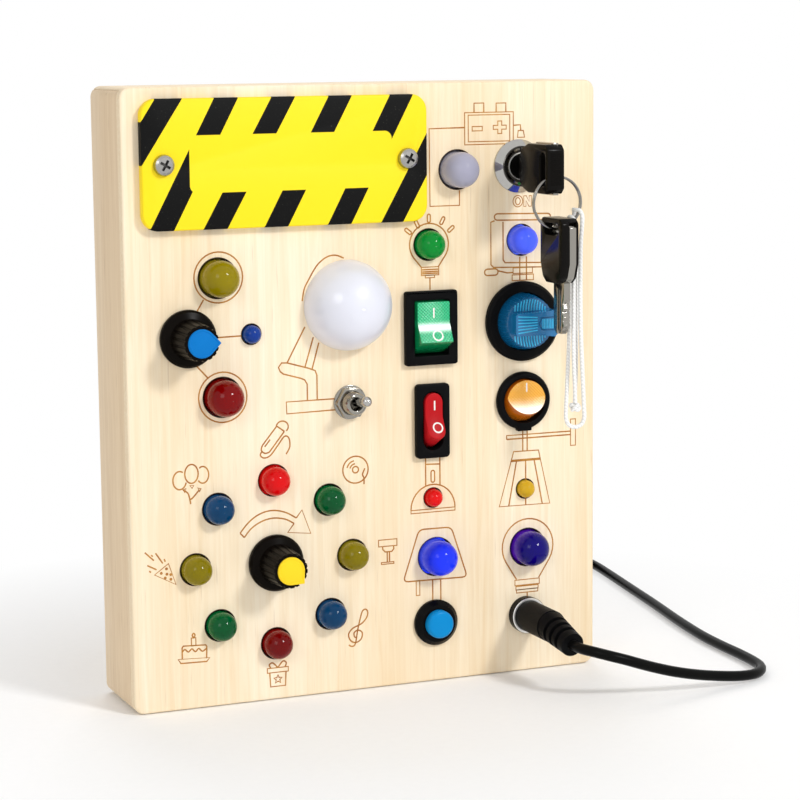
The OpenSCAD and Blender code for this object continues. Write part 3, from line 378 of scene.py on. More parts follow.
def cord_piece(name, points, diameter, between=4, resolution=3):
    """A round cord or wire along a line, with so many steps between two points"""
    curve = bpy.data.curves.new(name, "CURVE")
    curve.dimensions = "3D"
    curve.bevel_depth = diameter / 2 * MM
    curve.bevel_resolution = resolution
    curve.use_fill_caps = True
    line = smooth_line(points, between)
    spline = curve.splines.new("POLY")
    spline.points.add(len(line) - 1)
    for point, place in zip(spline.points, line):
        point.co = (place.x * MM, place.y * MM, place.z * MM, 1)
    spline.use_smooth = True
    piece = bpy.data.objects.new(name, curve)
    scene.collection.objects.link(piece)
    return piece


def wire_mesh(name, points, diameter, resolution):
    """A stiff wire or a pulled knot, which is a plain mesh"""
    alone(cord_piece(name, points, diameter, between=1, resolution=resolution))
    bpy.ops.object.convert(target="MESH")
    piece = bpy.context.object
    smooth(piece, 50)
    return piece


USB = (91.5, 93, 4)  # where the lead enters the connector's grip
TAIL = [(USB[0], 107, 4.5), (USB[0], 100, 4.3), USB]
lead = cord_piece("power_lead", LEAD_RUN + coil_points() + TAIL, 3)

# the limp white cord hangs from the ring in two long loops
STRING_FOOT = (52.3, -35, 130.58)
STRING_RUN = [
    (0.8, -0.65, -49.6), (0.5, -0.95, -45), (0, -1.2, -36), (0, -1.2, -24), (0, -1.2, -13),
    (0, -1.6, -6), (0, -2.25, -2.2), (0, -2.4, 0), (-0.2, -1.7, 1.65), (-0.4, 0, 2.35),
    (-0.2, 1.7, 1.65),
    (0, 2.4, 0), (0, 2.25, -2.2), (0, 1.6, -6), (0, 1.2, -13), (-0.1, 1.2, -28),
    (-0.8, 1.1, -43), (-1.35, 0.85, -51.6), (-1.4, 0.75, -54), (-0.7, 0.4, -55.8),
    (1.05, 0, -56.5), (2.8, -0.4, -55.8), (3.5, -0.75, -54), (3.45, -0.85, -51.6),
    (2.9, -1.1, -43), (2.2, -1.2, -28), (2.1, -1.2, -13), (2, -1.6, -5), (2, -2.3, 0),
    (2, -2.4, 2.6), (1.5, -1.75, 4.1), (0.75, 0, 4.15), (1.5, 1.75, 4.1), (2, 2.4, 2.6),
    (2, 2.3, 0), (2, 1.6, -5), (2, 1.2, -13), (2, 1.2, -26), (1.9, 1.15, -38), (1.6, 0.95, -45),
    (1.3, 0.65, -49.6),
]
string_points = [tuple(a + b for a, b in zip(STRING_FOOT, p)) for p in STRING_RUN]
string = cord_piece("white_cord", string_points, 1.2, resolution=2)


# ---- materials: wood ----
def wood(name, pale, warm, line_dir, grain, speck):
    """Sanded softwood or basswood, unvarnished: dull, with streaks along the grain direction"""
    material, shader, place = new_material(name, Roughness=0.62, IOR=1.45)
    squeeze = [0.035 if axis == line_dir else 1.0 for axis in "xyz"]
    along = add(material, "ShaderNodeMapping", {"Vector": place, "Scale": squeeze})
    streaks = add(material, "ShaderNodeTexNoise", {
        "Vector": along, "Scale": 1000 / grain, "Detail": 5, "Roughness": 0.6, "Distortion": 0.8})
    # broad pale and warm areas of about 25 mm
    areas = add(material, "ShaderNodeTexNoise", {"Vector": along, "Scale": 1000 / 25, "Detail": 2})
    blend = add(material, "ShaderNodeMath", {0: streaks, 1: areas}, operation="ADD")
    spread = add(material, "ShaderNodeMapRange", {
        "Value": blend, "From Min": 0.6, "From Max": 1.4})
    tone = add(material, "ShaderNodeMix", {
        "Factor": spread, "A": linear(pale), "B": linear(warm)}, data_type="RGBA")
    # short dark pores; real ones are about 0.1 mm wide, these are coarser so that they show
    pores = add(material, "ShaderNodeTexNoise", {
        "Vector": along, "Scale": 1000 / 0.5, "Detail": 1})
    dark = add(material, "ShaderNodeMapRange", {
        "Value": pores, "From Min": 0.68, "From Max": 0.8, "To Max": speck})
    colour = add(material, "ShaderNodeMix", {
        "Factor": dark, "A": tone, "B": linear("#A57B4A")}, data_type="RGBA")
    relief = add(material, "ShaderNodeBump", {
        "Strength": 0.35, "Distance": 0.00006, "Height": streaks})
    feed(material, shader, Base_Color=colour, Normal=relief)
    return material


panel_wood = wood("sanded_basswood_ply", "#FFF2DA", "#EDD4AC", "z", grain=1.6, speck=0.3)
side_pine = wood("sanded_pine_upright", "#F4DEBE", "#DCC09A", "z", grain=1.9, speck=0.6)
cross_pine = wood("sanded_pine_level", "#F2E0C2", "#DCC49E", "x", grain=1.9, speck=0.6)
back_ply = wood("back_ply", "#EAD3AC", "#DDBE90", "z", grain=2.4, speck=0.5)


def ply_edge():
    """Cut and sanded edge of thin plywood: pale, with one glue line between the veneers"""
    material, shader, place = new_material("ply_edge", Roughness=0.7)
    depth = add(material, "ShaderNodeSeparateXYZ", {"Vector": place})
    # one veneer is 1 mm thick
    layers = add(material, "ShaderNodeMath", {
        0: depth.outputs["Y"], 1: 1000 / 1.0}, operation="MULTIPLY")
    part = add(material, "ShaderNodeMath", {0: layers, 1: 1.0}, operation="FLOORED_MODULO")
    glue = add(material, "ShaderNodeMapRange", {
        "Value": part, "From Min": 0.86, "From Max": 0.95, "To Max": 0.4})
    fibres = add(material, "ShaderNodeTexNoise", {
        "Vector": place, "Scale": 1000 / 0.9, "Detail": 3})
    base = add(material, "ShaderNodeMix", {
        "Factor": fibres, "A": linear("#FBEBD0"), "B": linear("#EAD0A6")}, data_type="RGBA")
    colour = add(material, "ShaderNodeMix", {
        "Factor": glue, "A": base, "B": linear("#B98E5E")}, data_type="RGBA")
    feed(material, shader, Base_Color=colour)
    return material


def burned_wood(name, roughness, patch, dark, pale, low=0.0, high=1.0):
    """Wood burned by the laser: matt and uneven, in patches of the given mm"""
    material, shader, place = new_material(name, Roughness=roughness)
    burn = add(material, "ShaderNodeTexNoise", {
        "Vector": place, "Scale": 1000 / patch, "Detail": 3})
    pace = add(material, "ShaderNodeMapRange", {"Value": burn, "From Min": low, "From Max": high})
    colour = add(material, "ShaderNodeMix", {
        "Factor": pace, "A": linear(dark), "B": linear(pale)}, data_type="RGBA")
    feed(material, shader, Base_Color=colour)
    return material


# walls of the holes are nearly black; drawn lines are lighter where the beam moved fast
charred_wood = burned_wood("charred_wood", 0.9, 0.8, "#1C120B", "#4A2F1A")
scorched = burned_wood("scorched_line", 0.8, 3, "#A4641E", "#C08638", 0.35, 0.65)


# ---- materials: the striped plate ----
def hazard_paint():
    """Printed plate: bright yellow with slanting black bars; a plain yellow field in the middle"""
    material, shader, place = new_material("printed_plate", Roughness=0.5, IOR=1.45)
    parts = add(material, "ShaderNodeSeparateXYZ", {"Vector": place})
    # from the plate's lower left corner, in millimetres
    right = add(material, "ShaderNodeMath", {
        0: parts.outputs["X"], 1: 1000.0, 2: SIGN_HALF[0] - SIGN[0]}, operation="MULTIPLY_ADD")
    up = add(material, "ShaderNodeMath", {
        0: parts.outputs["Z"], 1: 1000.0, 2: SIGN_HALF[1] - SIGN[1]}, operation="MULTIPLY_ADD")
    # each bar: where its left edge meets the plate's foot, how far it leans per millimetre of
    # height, and its width
    bars = []
    for foot, slope, wide in ((-19.1, 0.66, 7.6), (1.7, 0.535, 6.8), (16.7, 0.57, 6.8),
                              (34.0, 0.545, 6.8), (52.3, 0.535, 6.9), (68.0, 0.57, 6.6)):
        lean = add(material, "ShaderNodeMath", {
            0: up, 1: -slope, 2: right}, operation="MULTIPLY_ADD")
        bars.append(add(material, "ShaderNodeMath", {
            0: lean, 1: foot + wide / 2, 2: wide / 2}, operation="COMPARE"))
    bar = bars[0]
    for other in bars[1:]:
        bar = add(material, "ShaderNodeMath", {0: bar, 1: other}, operation="MAXIMUM")
    # the bare field: distance from the middle, as a rounded box
    corner = []
    for along, middle, half in ((right, 42.3, 27.0), (up, SIGN_HALF[1], 5.6)):
        off = add(material, "ShaderNodeMath", {0: along, 1: middle}, operation="SUBTRACT")
        size = add(material, "ShaderNodeMath", {0: off}, operation="ABSOLUTE")
        over = add(material, "ShaderNodeMath", {0: size, 1: half}, operation="SUBTRACT")
        corner.append(add(material, "ShaderNodeMath", {0: over, 1: 0.0}, operation="MAXIMUM"))
    reach = add(material, "ShaderNodeCombineXYZ", {"X": corner[0], "Y": corner[1]})
    round_off = add(material, "ShaderNodeVectorMath", {0: reach}, operation="LENGTH")
    outside = add(material, "ShaderNodeMapRange", {
        "Value": round_off, "From Min": 2.0, "From Max": 2.15})
    ink = add(material, "ShaderNodeMath", {0: bar, 1: outside}, operation="MULTIPLY")
    # the black is printed thin, so tiny yellow-grey specks show in it
    specks = add(material, "ShaderNodeTexNoise", {
        "Vector": place, "Scale": 1000 / 0.45, "Detail": 2})
    thin = add(material, "ShaderNodeMapRange", {
        "Value": specks, "From Min": 0.66, "From Max": 0.76, "To Max": 0.5})
    black = add(material, "ShaderNodeMix", {
        "Factor": thin, "A": linear("#0B0B0B"), "B": linear("#4A4A42")}, data_type="RGBA")
    colour = add(material, "ShaderNodeMix", {
        "Factor": ink, "A": linear("#FCE010"), "B": black}, data_type="RGBA")
    grain = add(material, "ShaderNodeTexNoise", {"Vector": place, "Scale": 1000 / 0.35})
    relief = add(material, "ShaderNodeBump", {
        "Strength": 0.2, "Distance": 0.00003, "Height": grain})
    # the ink is duller than the yellow coat
    sheen = add(material, "ShaderNodeMapRange", {"Value": ink, "To Min": 0.35, "To Max": 0.12})
    feed(material, shader, Base_Color=colour, Normal=relief, Specular_IOR_Level=sheen)
    return material


# ---- materials: plastics ----
def moulded(name, colour, shade, roughness, grit, bump=0.15, shine=0.5):
    """Injection-moulded plastic: nearly even colour, with a fine skin of the given grit in mm"""
    material, shader, place = new_material(
        name, Roughness=roughness, IOR=1.49, Specular_IOR_Level=shine)
    skin = add(material, "ShaderNodeTexNoise", {
        "Vector": place, "Scale": 1000 / grit, "Detail": 3})
    cloud = add(material, "ShaderNodeTexNoise", {"Vector": place, "Scale": 1000 / 9})
    tone = add(material, "ShaderNodeMix", {
        "Factor": cloud, "A": linear(colour), "B": linear(shade)}, data_type="RGBA")
    wear = add(material, "ShaderNodeMapRange", {
        "Value": skin, "To Min": roughness * 0.85, "To Max": roughness * 1.2})
    relief = add(material, "ShaderNodeBump", {
        "Strength": bump, "Distance": 0.00005, "Height": skin})
    feed(material, shader, Base_Color=tone, Roughness=wear, Normal=relief)
    return material


# between these heights the lower lamps' colours pass into the upper ones'
LAMP_HALVES = (68, 78)
LAMP_RIM = 5.5  # how far in front of the board the thin wall by the foot reaches


def lamp_epoxy(name, rim, body, glow=0.0, heart=None, upper=None, upper_heart=None):
    """Diffused epoxy lens of a lamp: deep colour in the middle, lighter where the wall is thin
    near the foot; a lit one glows from its heart. Lamps in the upper half may differ"""
    material, shader, place = new_material(
        name, Roughness=0.07, IOR=1.55, Subsurface_Weight=0.1, Subsurface_Scale=0.001,
        Subsurface_Radius=(1, 1, 1), Specular_IOR_Level=0.14)
    parts = add(material, "ShaderNodeSeparateXYZ", {"Vector": place})
    level = add(material, "ShaderNodeMapRange", {
        "Value": parts.outputs["Z"], "From Min": LAMP_HALVES[0] * MM,
        "From Max": LAMP_HALVES[1] * MM})

    def by_level(low, high):
        if high is None:
            return linear(low)
        return add(material, "ShaderNodeMix", {
            "Factor": level, "A": linear(low), "B": linear(high)}, data_type="RGBA")

    foot = add(material, "ShaderNodeMapRange", {
        "Value": parts.outputs["Y"], "From Min": (FRONT - LAMP_RIM) * MM, "From Max": FRONT * MM})
    haze = add(material, "ShaderNodeTexNoise", {"Vector": place, "Scale": 1000 / 4})
    soft = add(material, "ShaderNodeMath", {0: foot, 1: haze}, operation="MULTIPLY")
    colour = add(material, "ShaderNodeMix", {
        "Factor": soft, "A": by_level(body, upper), "B": linear(rim)}, data_type="RGBA")
    feed(material, shader, Base_Color=colour)
    if glow:
        facing = add(material, "ShaderNodeNewGeometry")
        normal = add(material, "ShaderNodeSeparateXYZ", {"Vector": facing.outputs["Normal"]})
        front = add(material, "ShaderNodeMapRange", {
            "Value": normal.outputs["Y"], "From Min": -0.35, "From Max": -1.0,
            "To Min": 0.35 * glow, "To Max": glow})
        feed(material, shader, Emission_Color=by_level(heart, upper_heart),
             Emission_Strength=front)
    return material


# ---- materials: metals ----
def metal(name, colour, roughness, scratch=1.2):
    """Plated or plain metal with fine upright tool or handling marks, scratch mm apart"""
    material, shader, place = new_material(name, Metallic=1.0, Roughness=roughness)
    run = add(material, "ShaderNodeMapping", {"Vector": place, "Scale": (1, 1, 0.08)})
    marks = add(material, "ShaderNodeTexNoise", {
        "Vector": run, "Scale": 1000 / scratch, "Detail": 4})
    dull = add(material, "ShaderNodeMapRange", {
        "Value": marks, "To Min": roughness * 0.7, "To Max": roughness * 1.5})
    tint = add(material, "ShaderNodeMix", {
        "Factor": marks, "A": linear(colour), "B": linear("#8C8C8A")}, data_type="RGBA")
    half = add(material, "ShaderNodeMix", {
        "Factor": 0.3, "A": linear(colour), "B": tint}, data_type="RGBA")
    relief = add(material, "ShaderNodeBump", {
        "Strength": 0.1, "Distance": 0.00002, "Height": marks})
    feed(material, shader, Base_Color=half, Roughness=dull, Normal=relief)
    return material


ply_edge_paint = ply_edge()
plate_print = hazard_paint()

# grained housings look soft black; polished bezels, knobs and grips show smooth dark reflections;
# coloured caps are matt and even
black_abs = moulded("black_abs_fine_grain", "#0A0A0B", "#0F0F10", 0.45, 0.5, shine=0.05)
black_gloss = moulded("black_abs_polished", "#080808", "#0D0C0B", 0.2, 3.0, bump=0.04, shine=0.06)
knob_black = moulded("black_phenolic_knob", "#0C0A08", "#15110D", 0.24, 2.2, bump=0.04, shine=0.03)
grip_black = moulded("key_grip_abs", "#0A0908", "#120F0C", 0.22, 2.5, bump=0.05, shine=0.08)
cap_blue = moulded("blue_cap_abs", "#0C7ACA", "#0A72BE", 0.42, 0.7, shine=0.08)
cap_yellow = moulded("yellow_cap_abs", "#FFDC2E", "#F8D022", 0.42, 0.7, shine=0.12)
button_blue = moulded("blue_button_abs", "#0A90D6", "#0884C6", 0.3, 0.8, shine=0.1)
red_abs = moulded("red_rocker_abs", "#C2181F", "#AE141B", 0.4, 0.7, shine=0.1)
white_ink = moulded("white_marking_ink", "#F4F2EE", "#E8E6E0", 0.5, 0.4)
switch_body = moulded("switch_body_nylon", "#1A1A1B", "#232324", 0.55, 0.9)
red_phenolic = moulded("red_toggle_body", "#A82A1E", "#8E2018", 0.45, 0.9)
nylon = moulded("natural_nylon", "#E9E6DC", "#DCD8CC", 0.5, 0.9)
red_wire = moulded("red_wire_pvc", "#C01E1E", "#A31616", 0.4, 1.2)
lead_pvc = moulded("black_lead_pvc", "#0A0A0A", "#111110", 0.3, 1.5, bump=0.05, shine=0.05)
lamp_board_white = moulded("white_lamp_board", "#EDEDEA", "#DCDCD6", 0.5, 0.9)

# plate mirrors what is round it; the turned lock face, the screws and the springs are duller; the
# plated colours are set darker than real plate, painted shade for the dark surroundings that real
# plate mirrors
chrome = metal("chrome_plate", "#B8B6B2", 0.06)
# the lock face's dark colour is painted reflection: dark surroundings mirrored in its plate
lock_face_dark_reflection = metal("lock_face_painted_reflection", "#3E3A36", 0.16)
# near-white rough metal for thin rims, a painted highlight on their edges
rim_glint_metal = metal("painted_rim_highlight", "#F4F2EE", 0.36)
nickel = metal("nickel_plate", "#9C9890", 0.15)
ring_steel = metal("split_ring_steel", "#8E8C88", 0.17)
shaded_recess = metal("shaded_recess", "#4A4846", 0.4)
zinc_steel = metal("zinc_plated_screw", "#AAA8A4", 0.26, scratch=0.7)
spring_wire = metal("spring_steel", "#B9B9B6", 0.24)
tin = metal("tinned_wire", "#C8C8C4", 0.3)

# unlit lamps are deep and glassy, lit ones bright from within; the unlit purple one glows faintly,
# painted light
lamp_grey = lamp_epoxy("lamp_epoxy_grey", "#BEBCCC", "#A6A5B8")
lamp_olive = lamp_epoxy("lamp_epoxy_olive", "#A89C30", "#807200", upper="#8E7E04")
lamp_dark_red = lamp_epoxy("lamp_epoxy_dark_red", "#9A1610", "#6C0202", upper="#7C0203")
lamp_green = lamp_epoxy("lamp_epoxy_green", "#0E8844", "#005026", upper="#008A30")
lamp_dark_blue = lamp_epoxy("lamp_epoxy_dark_blue", "#2C609C", "#023A62", upper="#02268C")
lamp_yellow = lamp_epoxy("lamp_epoxy_yellow", "#E0BC38", "#C89A0C")
lamp_purple = lamp_epoxy("lamp_epoxy_purple", "#7828F0", "#0A0068", glow=0.06, heart="#3008B0")
lamp_lit_blue = lamp_epoxy("lamp_epoxy_lit_blue", "#6A78FF", "#1018A0", glow=0.75,
                           heart="#1C3CFF", upper="#2030C0", upper_heart="#5A74FF")
lamp_lit_red = lamp_epoxy("lamp_epoxy_lit_red", "#E41C14", "#A80406", glow=0.4,
                          heart="#F40810")


def frosted_dome():
    """Frosted polycarbonate lamp cover: milky white with a faint cool cast and a gloss skin"""
    material, shader, place = new_material(
        "frosted_lamp_cover", Roughness=0.3, IOR=1.5, Coat_Weight=0.5, Coat_Roughness=0.12,
        Subsurface_Weight=0.3, Subsurface_Scale=0.004, Subsurface_Radius=(1, 1, 1))
    haze = add(material, "ShaderNodeTexNoise", {"Vector": place, "Scale": 1000 / 14, "Detail": 2})
    colour = add(material, "ShaderNodeMix", {
        "Factor": haze, "A": linear("#E8EAF6"), "B": linear("#DEDFEC")}, data_type="RGBA")
    frost = add(material, "ShaderNodeTexNoise", {"Vector": place, "Scale": 1000 / 0.3})
    relief = add(material, "ShaderNodeBump", {
        "Strength": 0.1, "Distance": 0.00002, "Height": frost})
    feed(material, shader, Base_Color=colour, Normal=relief)
    return material


def clear_rocker(name, wall, deep, bright, light, level, grid, band):
    """Clear moulded rocker: prisms in its face, grid mm apart; a glowing band of near-white
    painted highlight whose low, middle and high edge are given from the rocker's own height; the
    side walls in a darker colour as painted shade, and a faint painted glow all over"""
    material, shader, place = new_material(
        name, Roughness=0.14, IOR=1.49, Coat_Weight=0.15, Coat_Roughness=0.05,
        Transmission_Weight=0.15)
    parts = add(material, "ShaderNodeSeparateXYZ", {"Vector": place})
    waves = []
    for axis in "ZX":
        phase = add(material, "ShaderNodeMath", {
            0: parts.outputs[axis], 1: 2000 * math.pi / grid}, operation="MULTIPLY")
        waves.append(add(material, "ShaderNodeMath", {0: phase}, operation="SINE"))
    prism = add(material, "ShaderNodeMath", {0: waves[0], 1: waves[1]}, operation="MULTIPLY")
    weave = add(material, "ShaderNodeMapRange", {"Value": prism, "From Min": -1.0})
    colour = add(material, "ShaderNodeMix", {
        "Factor": weave, "A": linear(deep), "B": linear(bright)}, data_type="RGBA")
    # the painted highlight spreads from the band's middle height
    low, middle, high = [(level + b) * MM for b in band]
    fades = [add(material, "ShaderNodeMapRange", {
        "Value": parts.outputs["Z"], "From Min": edge, "From Max": middle},
        interpolation_type="SMOOTHSTEP") for edge in (low, high)]
    both = add(material, "ShaderNodeMath", {0: fades[0], 1: fades[1]}, operation="MULTIPLY")
    # only faces that look forward carry the painted highlight; the side walls take the darker wall
    # colour as painted shade
    facing = add(material, "ShaderNodeNewGeometry")
    normal = add(material, "ShaderNodeSeparateXYZ", {"Vector": facing.outputs["Normal"]})
    front = add(material, "ShaderNodeMapRange", {
        "Value": normal.outputs["Y"], "From Min": -0.6, "From Max": -0.85})
    core = add(material, "ShaderNodeMath", {0: both, 1: 2.2}, operation="POWER")
    lit = add(material, "ShaderNodeMath", {0: core, 1: front}, operation="MULTIPLY")
    walls = add(material, "ShaderNodeMix", {
        "Factor": front, "A": linear(wall), "B": colour}, data_type="RGBA")
    shine = add(material, "ShaderNodeMix", {
        "Factor": lit, "A": walls, "B": linear(light)}, data_type="RGBA")
    # the painted highlight glows, and the whole rocker glows faintly as painted light
    power = add(material, "ShaderNodeMapRange", {"Value": lit, "To Min": 0.12, "To Max": 0.6})
    relief = add(material, "ShaderNodeBump", {
        "Strength": 0.5, "Distance": 0.00008, "Height": prism})
    feed(material, shader, Base_Color=shine, Emission_Color=shine, Emission_Strength=power,
         Normal=relief)
    return material


def clear_blue():
    """Clear blue polycarbonate of the turning knob: darker towards the board, lighter towards its
    front, with a faint painted glow all over
    """
    material, shader, place = new_material(
        "clear_blue_polycarbonate", Roughness=0.16, IOR=1.58, Coat_Weight=0.15,
        Coat_Roughness=0.06, Transmission_Weight=0.2)
    parts = add(material, "ShaderNodeSeparateXYZ", {"Vector": place})
    depth = add(material, "ShaderNodeMapRange", {
        "Value": parts.outputs["Y"], "From Min": -23.5 * MM, "From Max": -13 * MM})
    swirl = add(material, "ShaderNodeTexNoise", {
        "Vector": place, "Scale": 1000 / 2.5, "Detail": 2})
    mixed = add(material, "ShaderNodeMath", {
        0: swirl, 1: 0.35, 2: depth}, operation="MULTIPLY_ADD")
    colour = add(material, "ShaderNodeMix", {
        "Factor": mixed, "A": linear("#0E72AC"), "B": linear("#06365C")}, data_type="RGBA")
    # the faint emission is painted light: the knob has no lamp in it
    feed(material, shader, Base_Color=colour, Emission_Color=linear("#1080B8"),
         Emission_Strength=0.12)
    return material


def circuit_green():
    """Glass-fibre circuit board under green solder mask with faint tracks"""
    material, shader, place = new_material("green_solder_mask", Roughness=0.35, Coat_Weight=0.3)
    tracks = add(material, "ShaderNodeTexVoronoi", {
        "Vector": place, "Scale": 1000 / 4}, distance="CHEBYCHEV", feature="DISTANCE_TO_EDGE")
    line = add(material, "ShaderNodeMapRange", {
        "Value": tracks.outputs["Distance"], "From Min": 0.02, "From Max": 0.08})
    colour = add(material, "ShaderNodeMix", {
        "Factor": line, "A": linear("#2E8A4E"), "B": linear("#14602E")}, data_type="RGBA")
    feed(material, shader, Base_Color=colour)
    return material


def braided_white():
    """Limp polyester cord: white, with strands that cross every 0.8 mm"""
    material, shader, place = new_material("white_braided_cord", Roughness=0.75, Sheen_Weight=0.2)
    strands = add(material, "ShaderNodeTexWave", {
        "Vector": place, "Scale": 1000 / 1.6, "Distortion": 2.0, "Detail": 1},
        wave_type="BANDS", bands_direction="DIAGONAL")
    colour = add(material, "ShaderNodeMix", {
        "Factor": strands.outputs["Fac"], "A": linear("#E6E6E4"), "B": linear("#FAFAF8")},
        data_type="RGBA")
    relief = add(material, "ShaderNodeBump", {
        "Strength": 0.5, "Distance": 0.0001, "Height": strands.outputs["Fac"]})
    feed(material, shader, Base_Color=colour, Normal=relief)
    return material


dome_white = frosted_dome()
# each rocker: a darker wall colour as painted shade, two prism colours, a near-white painted
# highlight, the rocker's height, the prism grid and the band of the highlight
clear_green = clear_rocker("clear_green_polycarbonate", "#067A46", "#06925A", "#34D494",
                           "#F4FFFA", GREEN_ROCKER[1], 0.95, (-2.0, 0.3, 2.9))
clear_amber = clear_rocker("clear_amber_polycarbonate", "#A85204", "#D88A0C", "#FFC24A",
                           "#FFFBF0", AMBER_ROCKER[1], 0.9, (-16, -2.8, 2.4))
rotary_blue = clear_blue()
# the knob's ribs and ridges wear a lighter blue as painted highlight, its window edges a deep blue
# as painted shade
rib_highlight_blue = moulded("lit_rib_edges", "#44CCF6", "#36BCEC", 0.25, 1.0, shine=0.6)
groove_shade_blue = moulded("painted_groove_shade", "#08486E", "#0A5480", 0.3, 1.0, shine=0.3)
dot_green = moulded("green_enamel_dot", "#0E7A2A", "#0A6A22", 0.3, 1.0)
solder_mask = circuit_green()
cord_white = braided_white()

# ---- every CAD node gets its material ----
NODE_FINISH = {
    "frame_left": side_pine, "frame_right": side_pine, "frame_top": cross_pine,
    "frame_bottom": cross_pine, "front_panel": panel_wood, "back_panel": back_ply,
    "back_screws": zinc_steel, "sign_plate": plate_print, "sign_screws": zinc_steel,
    "led_grey": lamp_grey, "leds_olive": lamp_olive, "leds_dark_red": lamp_dark_red,
    "leds_lit_blue": lamp_lit_blue, "led_purple": lamp_purple, "leds_green": lamp_green,
    "leds_dark_blue": lamp_dark_blue, "leds_lit_red": lamp_lit_red, "led_yellow": lamp_yellow,
    "led_leads": tin, "lamp_dome": dome_white, "lamp_board": lamp_board_white,
    "rotary_switches": switch_body, "rotary_bezel": black_abs, "rotary_body": switch_body,
    "green_housing": black_abs, "red_housing": black_abs, "amber_housing": black_abs,
    "toggle_body": red_phenolic, "toggle_nut": nickel, "button_body": black_gloss,
    "button_spring": spring_wire, "lock_barrel": chrome, "panel_nuts": zinc_steel,
    "dc_jack": black_gloss, "circuit_board": solder_mask, "board_spacers": nylon,
    "wire_loom": red_wire, "mode_knob": knob_black, "mode_cap": cap_blue, "mode_shaft": nickel,
    "selector_knob": knob_black, "selector_cap": cap_yellow, "selector_shaft": nickel,
    "rotary_knob": rotary_blue, "green_rocker": clear_green, "red_rocker": red_abs,
    "amber_rocker": clear_amber, "toggle_lever": chrome, "button_cap": button_blue,
    "lock_cylinder": black_gloss, "key": nickel, "key_cover": grip_black, "key_ring": chrome,
    "spare_key": nickel, "spare_cover": grip_black, "key_string": cord_white,
    "dc_plug": black_abs, "power_cord": lead_pvc, "cord_coil": lead_pvc, "usb_plug": black_abs,
}
for name, material in NODE_FINISH.items():
    paint(nodes[name], material)

# ---- front panel: one board with laser-cut holes and a rounded rim ----
panel = box_piece("front_board", (-HALF_WIDTH, FRONT, 0), (HALF_WIDTH, FRONT + PANEL, TALL))
panel.data.materials.append(panel_wood)
whole_mesh_in_edit(panel)
bpy.ops.mesh.select_mode(type="EDGE")
bpy.ops.mesh.select_all(action="DESELECT")
bpy.ops.object.mode_set(mode="OBJECT")
for edge in panel.data.edges:
    a, b = (panel.data.vertices[v].co for v in edge.vertices)
    edge.select = abs(a.y - b.y) > PANEL / 2 * MM  # the four short corner edges
bpy.ops.object.mode_set(mode="EDIT")
bpy.ops.mesh.bevel(offset=CORNER_RADIUS * MM, segments=8, affect="EDGES")
bpy.ops.mesh.select_all(action="DESELECT")
bpy.ops.object.mode_set(mode="OBJECT")
for edge in panel.data.edges:
    a, b = (panel.data.vertices[v].co for v in edge.vertices)
    edge.select = max(a.y, b.y) < (FRONT + 0.1) * MM  # the rim of the front face
bpy.ops.object.mode_set(mode="EDIT")
bpy.ops.mesh.bevel(offset=FACE_ROUNDING * MM, segments=3, affect="EDGES")
bpy.ops.object.mode_set(mode="OBJECT")

HOLE_GAP = {10: 0.5, 8: 0.4, 5: 0.3}
round_holes = [(x, z, d / 2 + HOLE_GAP[d]) for x, z, d in LAMPS.values()]
round_holes += [(*MODE, 3.6), (*SELECTOR, 3.6), (*DOME, 9.5), (*ROTARY, 9.6),
                (*AMBER_ROCKER, 7.3), (*TOGGLE, 3.1), (*LOCK, 6.1), (*BUTTON, 5.1), (*JACK, 4.1)]
round_holes += [(x, z, 1.45) for x, z in SIGN_SCREWS]
cutters = []
for x, z, radius in round_holes:
    deselect()
    bpy.ops.mesh.primitive_cylinder_add(vertices=64, radius=radius * MM, depth=6 * MM,
                                        location=at(x, z, -PANEL / 2),
                                        rotation=(math.pi / 2, 0, 0))
    cutters.append(bpy.context.object)
for (x, z), wide, tall in ((GREEN_ROCKER, 6.6, 9.55), (RED_ROCKER, 4.3, 9.65)):
    cutters.append(box_piece("cutter", (x - wide, FRONT - 2, z - tall),
                             (x + wide, FRONT + PANEL + 2, z + tall)))
hole_cutter = joined(cutters)
settle(hole_cutter)
cut_away(panel, hole_cutter)
# wood in front, burned walls in the holes, bare plies round the outside
OUTER_STRIP = 4
paint(panel, panel_wood, charred_wood, ply_edge_paint)
for face in panel.data.polygons:
    x, y, z = face.center / MM
    if abs(face.normal.y) > 0.3 and y < FRONT + 0.8:
        face.material_index = 0
    elif (abs(x) < HALF_WIDTH - OUTER_STRIP and OUTER_STRIP < z < TALL - OUTER_STRIP
          and abs(face.normal.y) < 0.3):
        face.material_index = 1
    elif abs(face.normal.y) < 0.3:
        face.material_index = 2
smooth(panel)
finish_piece(panel, "board", None, "basswood_ply", ("front_panel",))

for side, pine in (("frame_left", side_pine), ("frame_right", side_pine),
                   ("frame_top", cross_pine), ("frame_bottom", cross_pine)):
    finish_piece(softened(side + "_bar", side, 0.3), "board", pine, "pine", (side,))

# ---- engraved drawings ----
def circle(x, z, radius, start=0, end=360, steps=36, tall=None):
    """Arc points, degrees counterclockwise from the right"""
    tall = radius if tall is None else tall
    count = max(3, int(steps * abs(end - start) / 360))
    line = [(x + radius * math.cos(math.radians(start + (end - start) * i / count)),
             z + tall * math.sin(math.radians(start + (end - start) * i / count)))
            for i in range(count + 1)]
    if abs(end - start) == 360:
        line[-1] = line[0]
    return line


def frame_of(x1, z1, x2, z2):
    """An upright rectangle between two corners"""
    return [(x1, z1), (x2, z1), (x2, z2), (x1, z2), (x1, z1)]


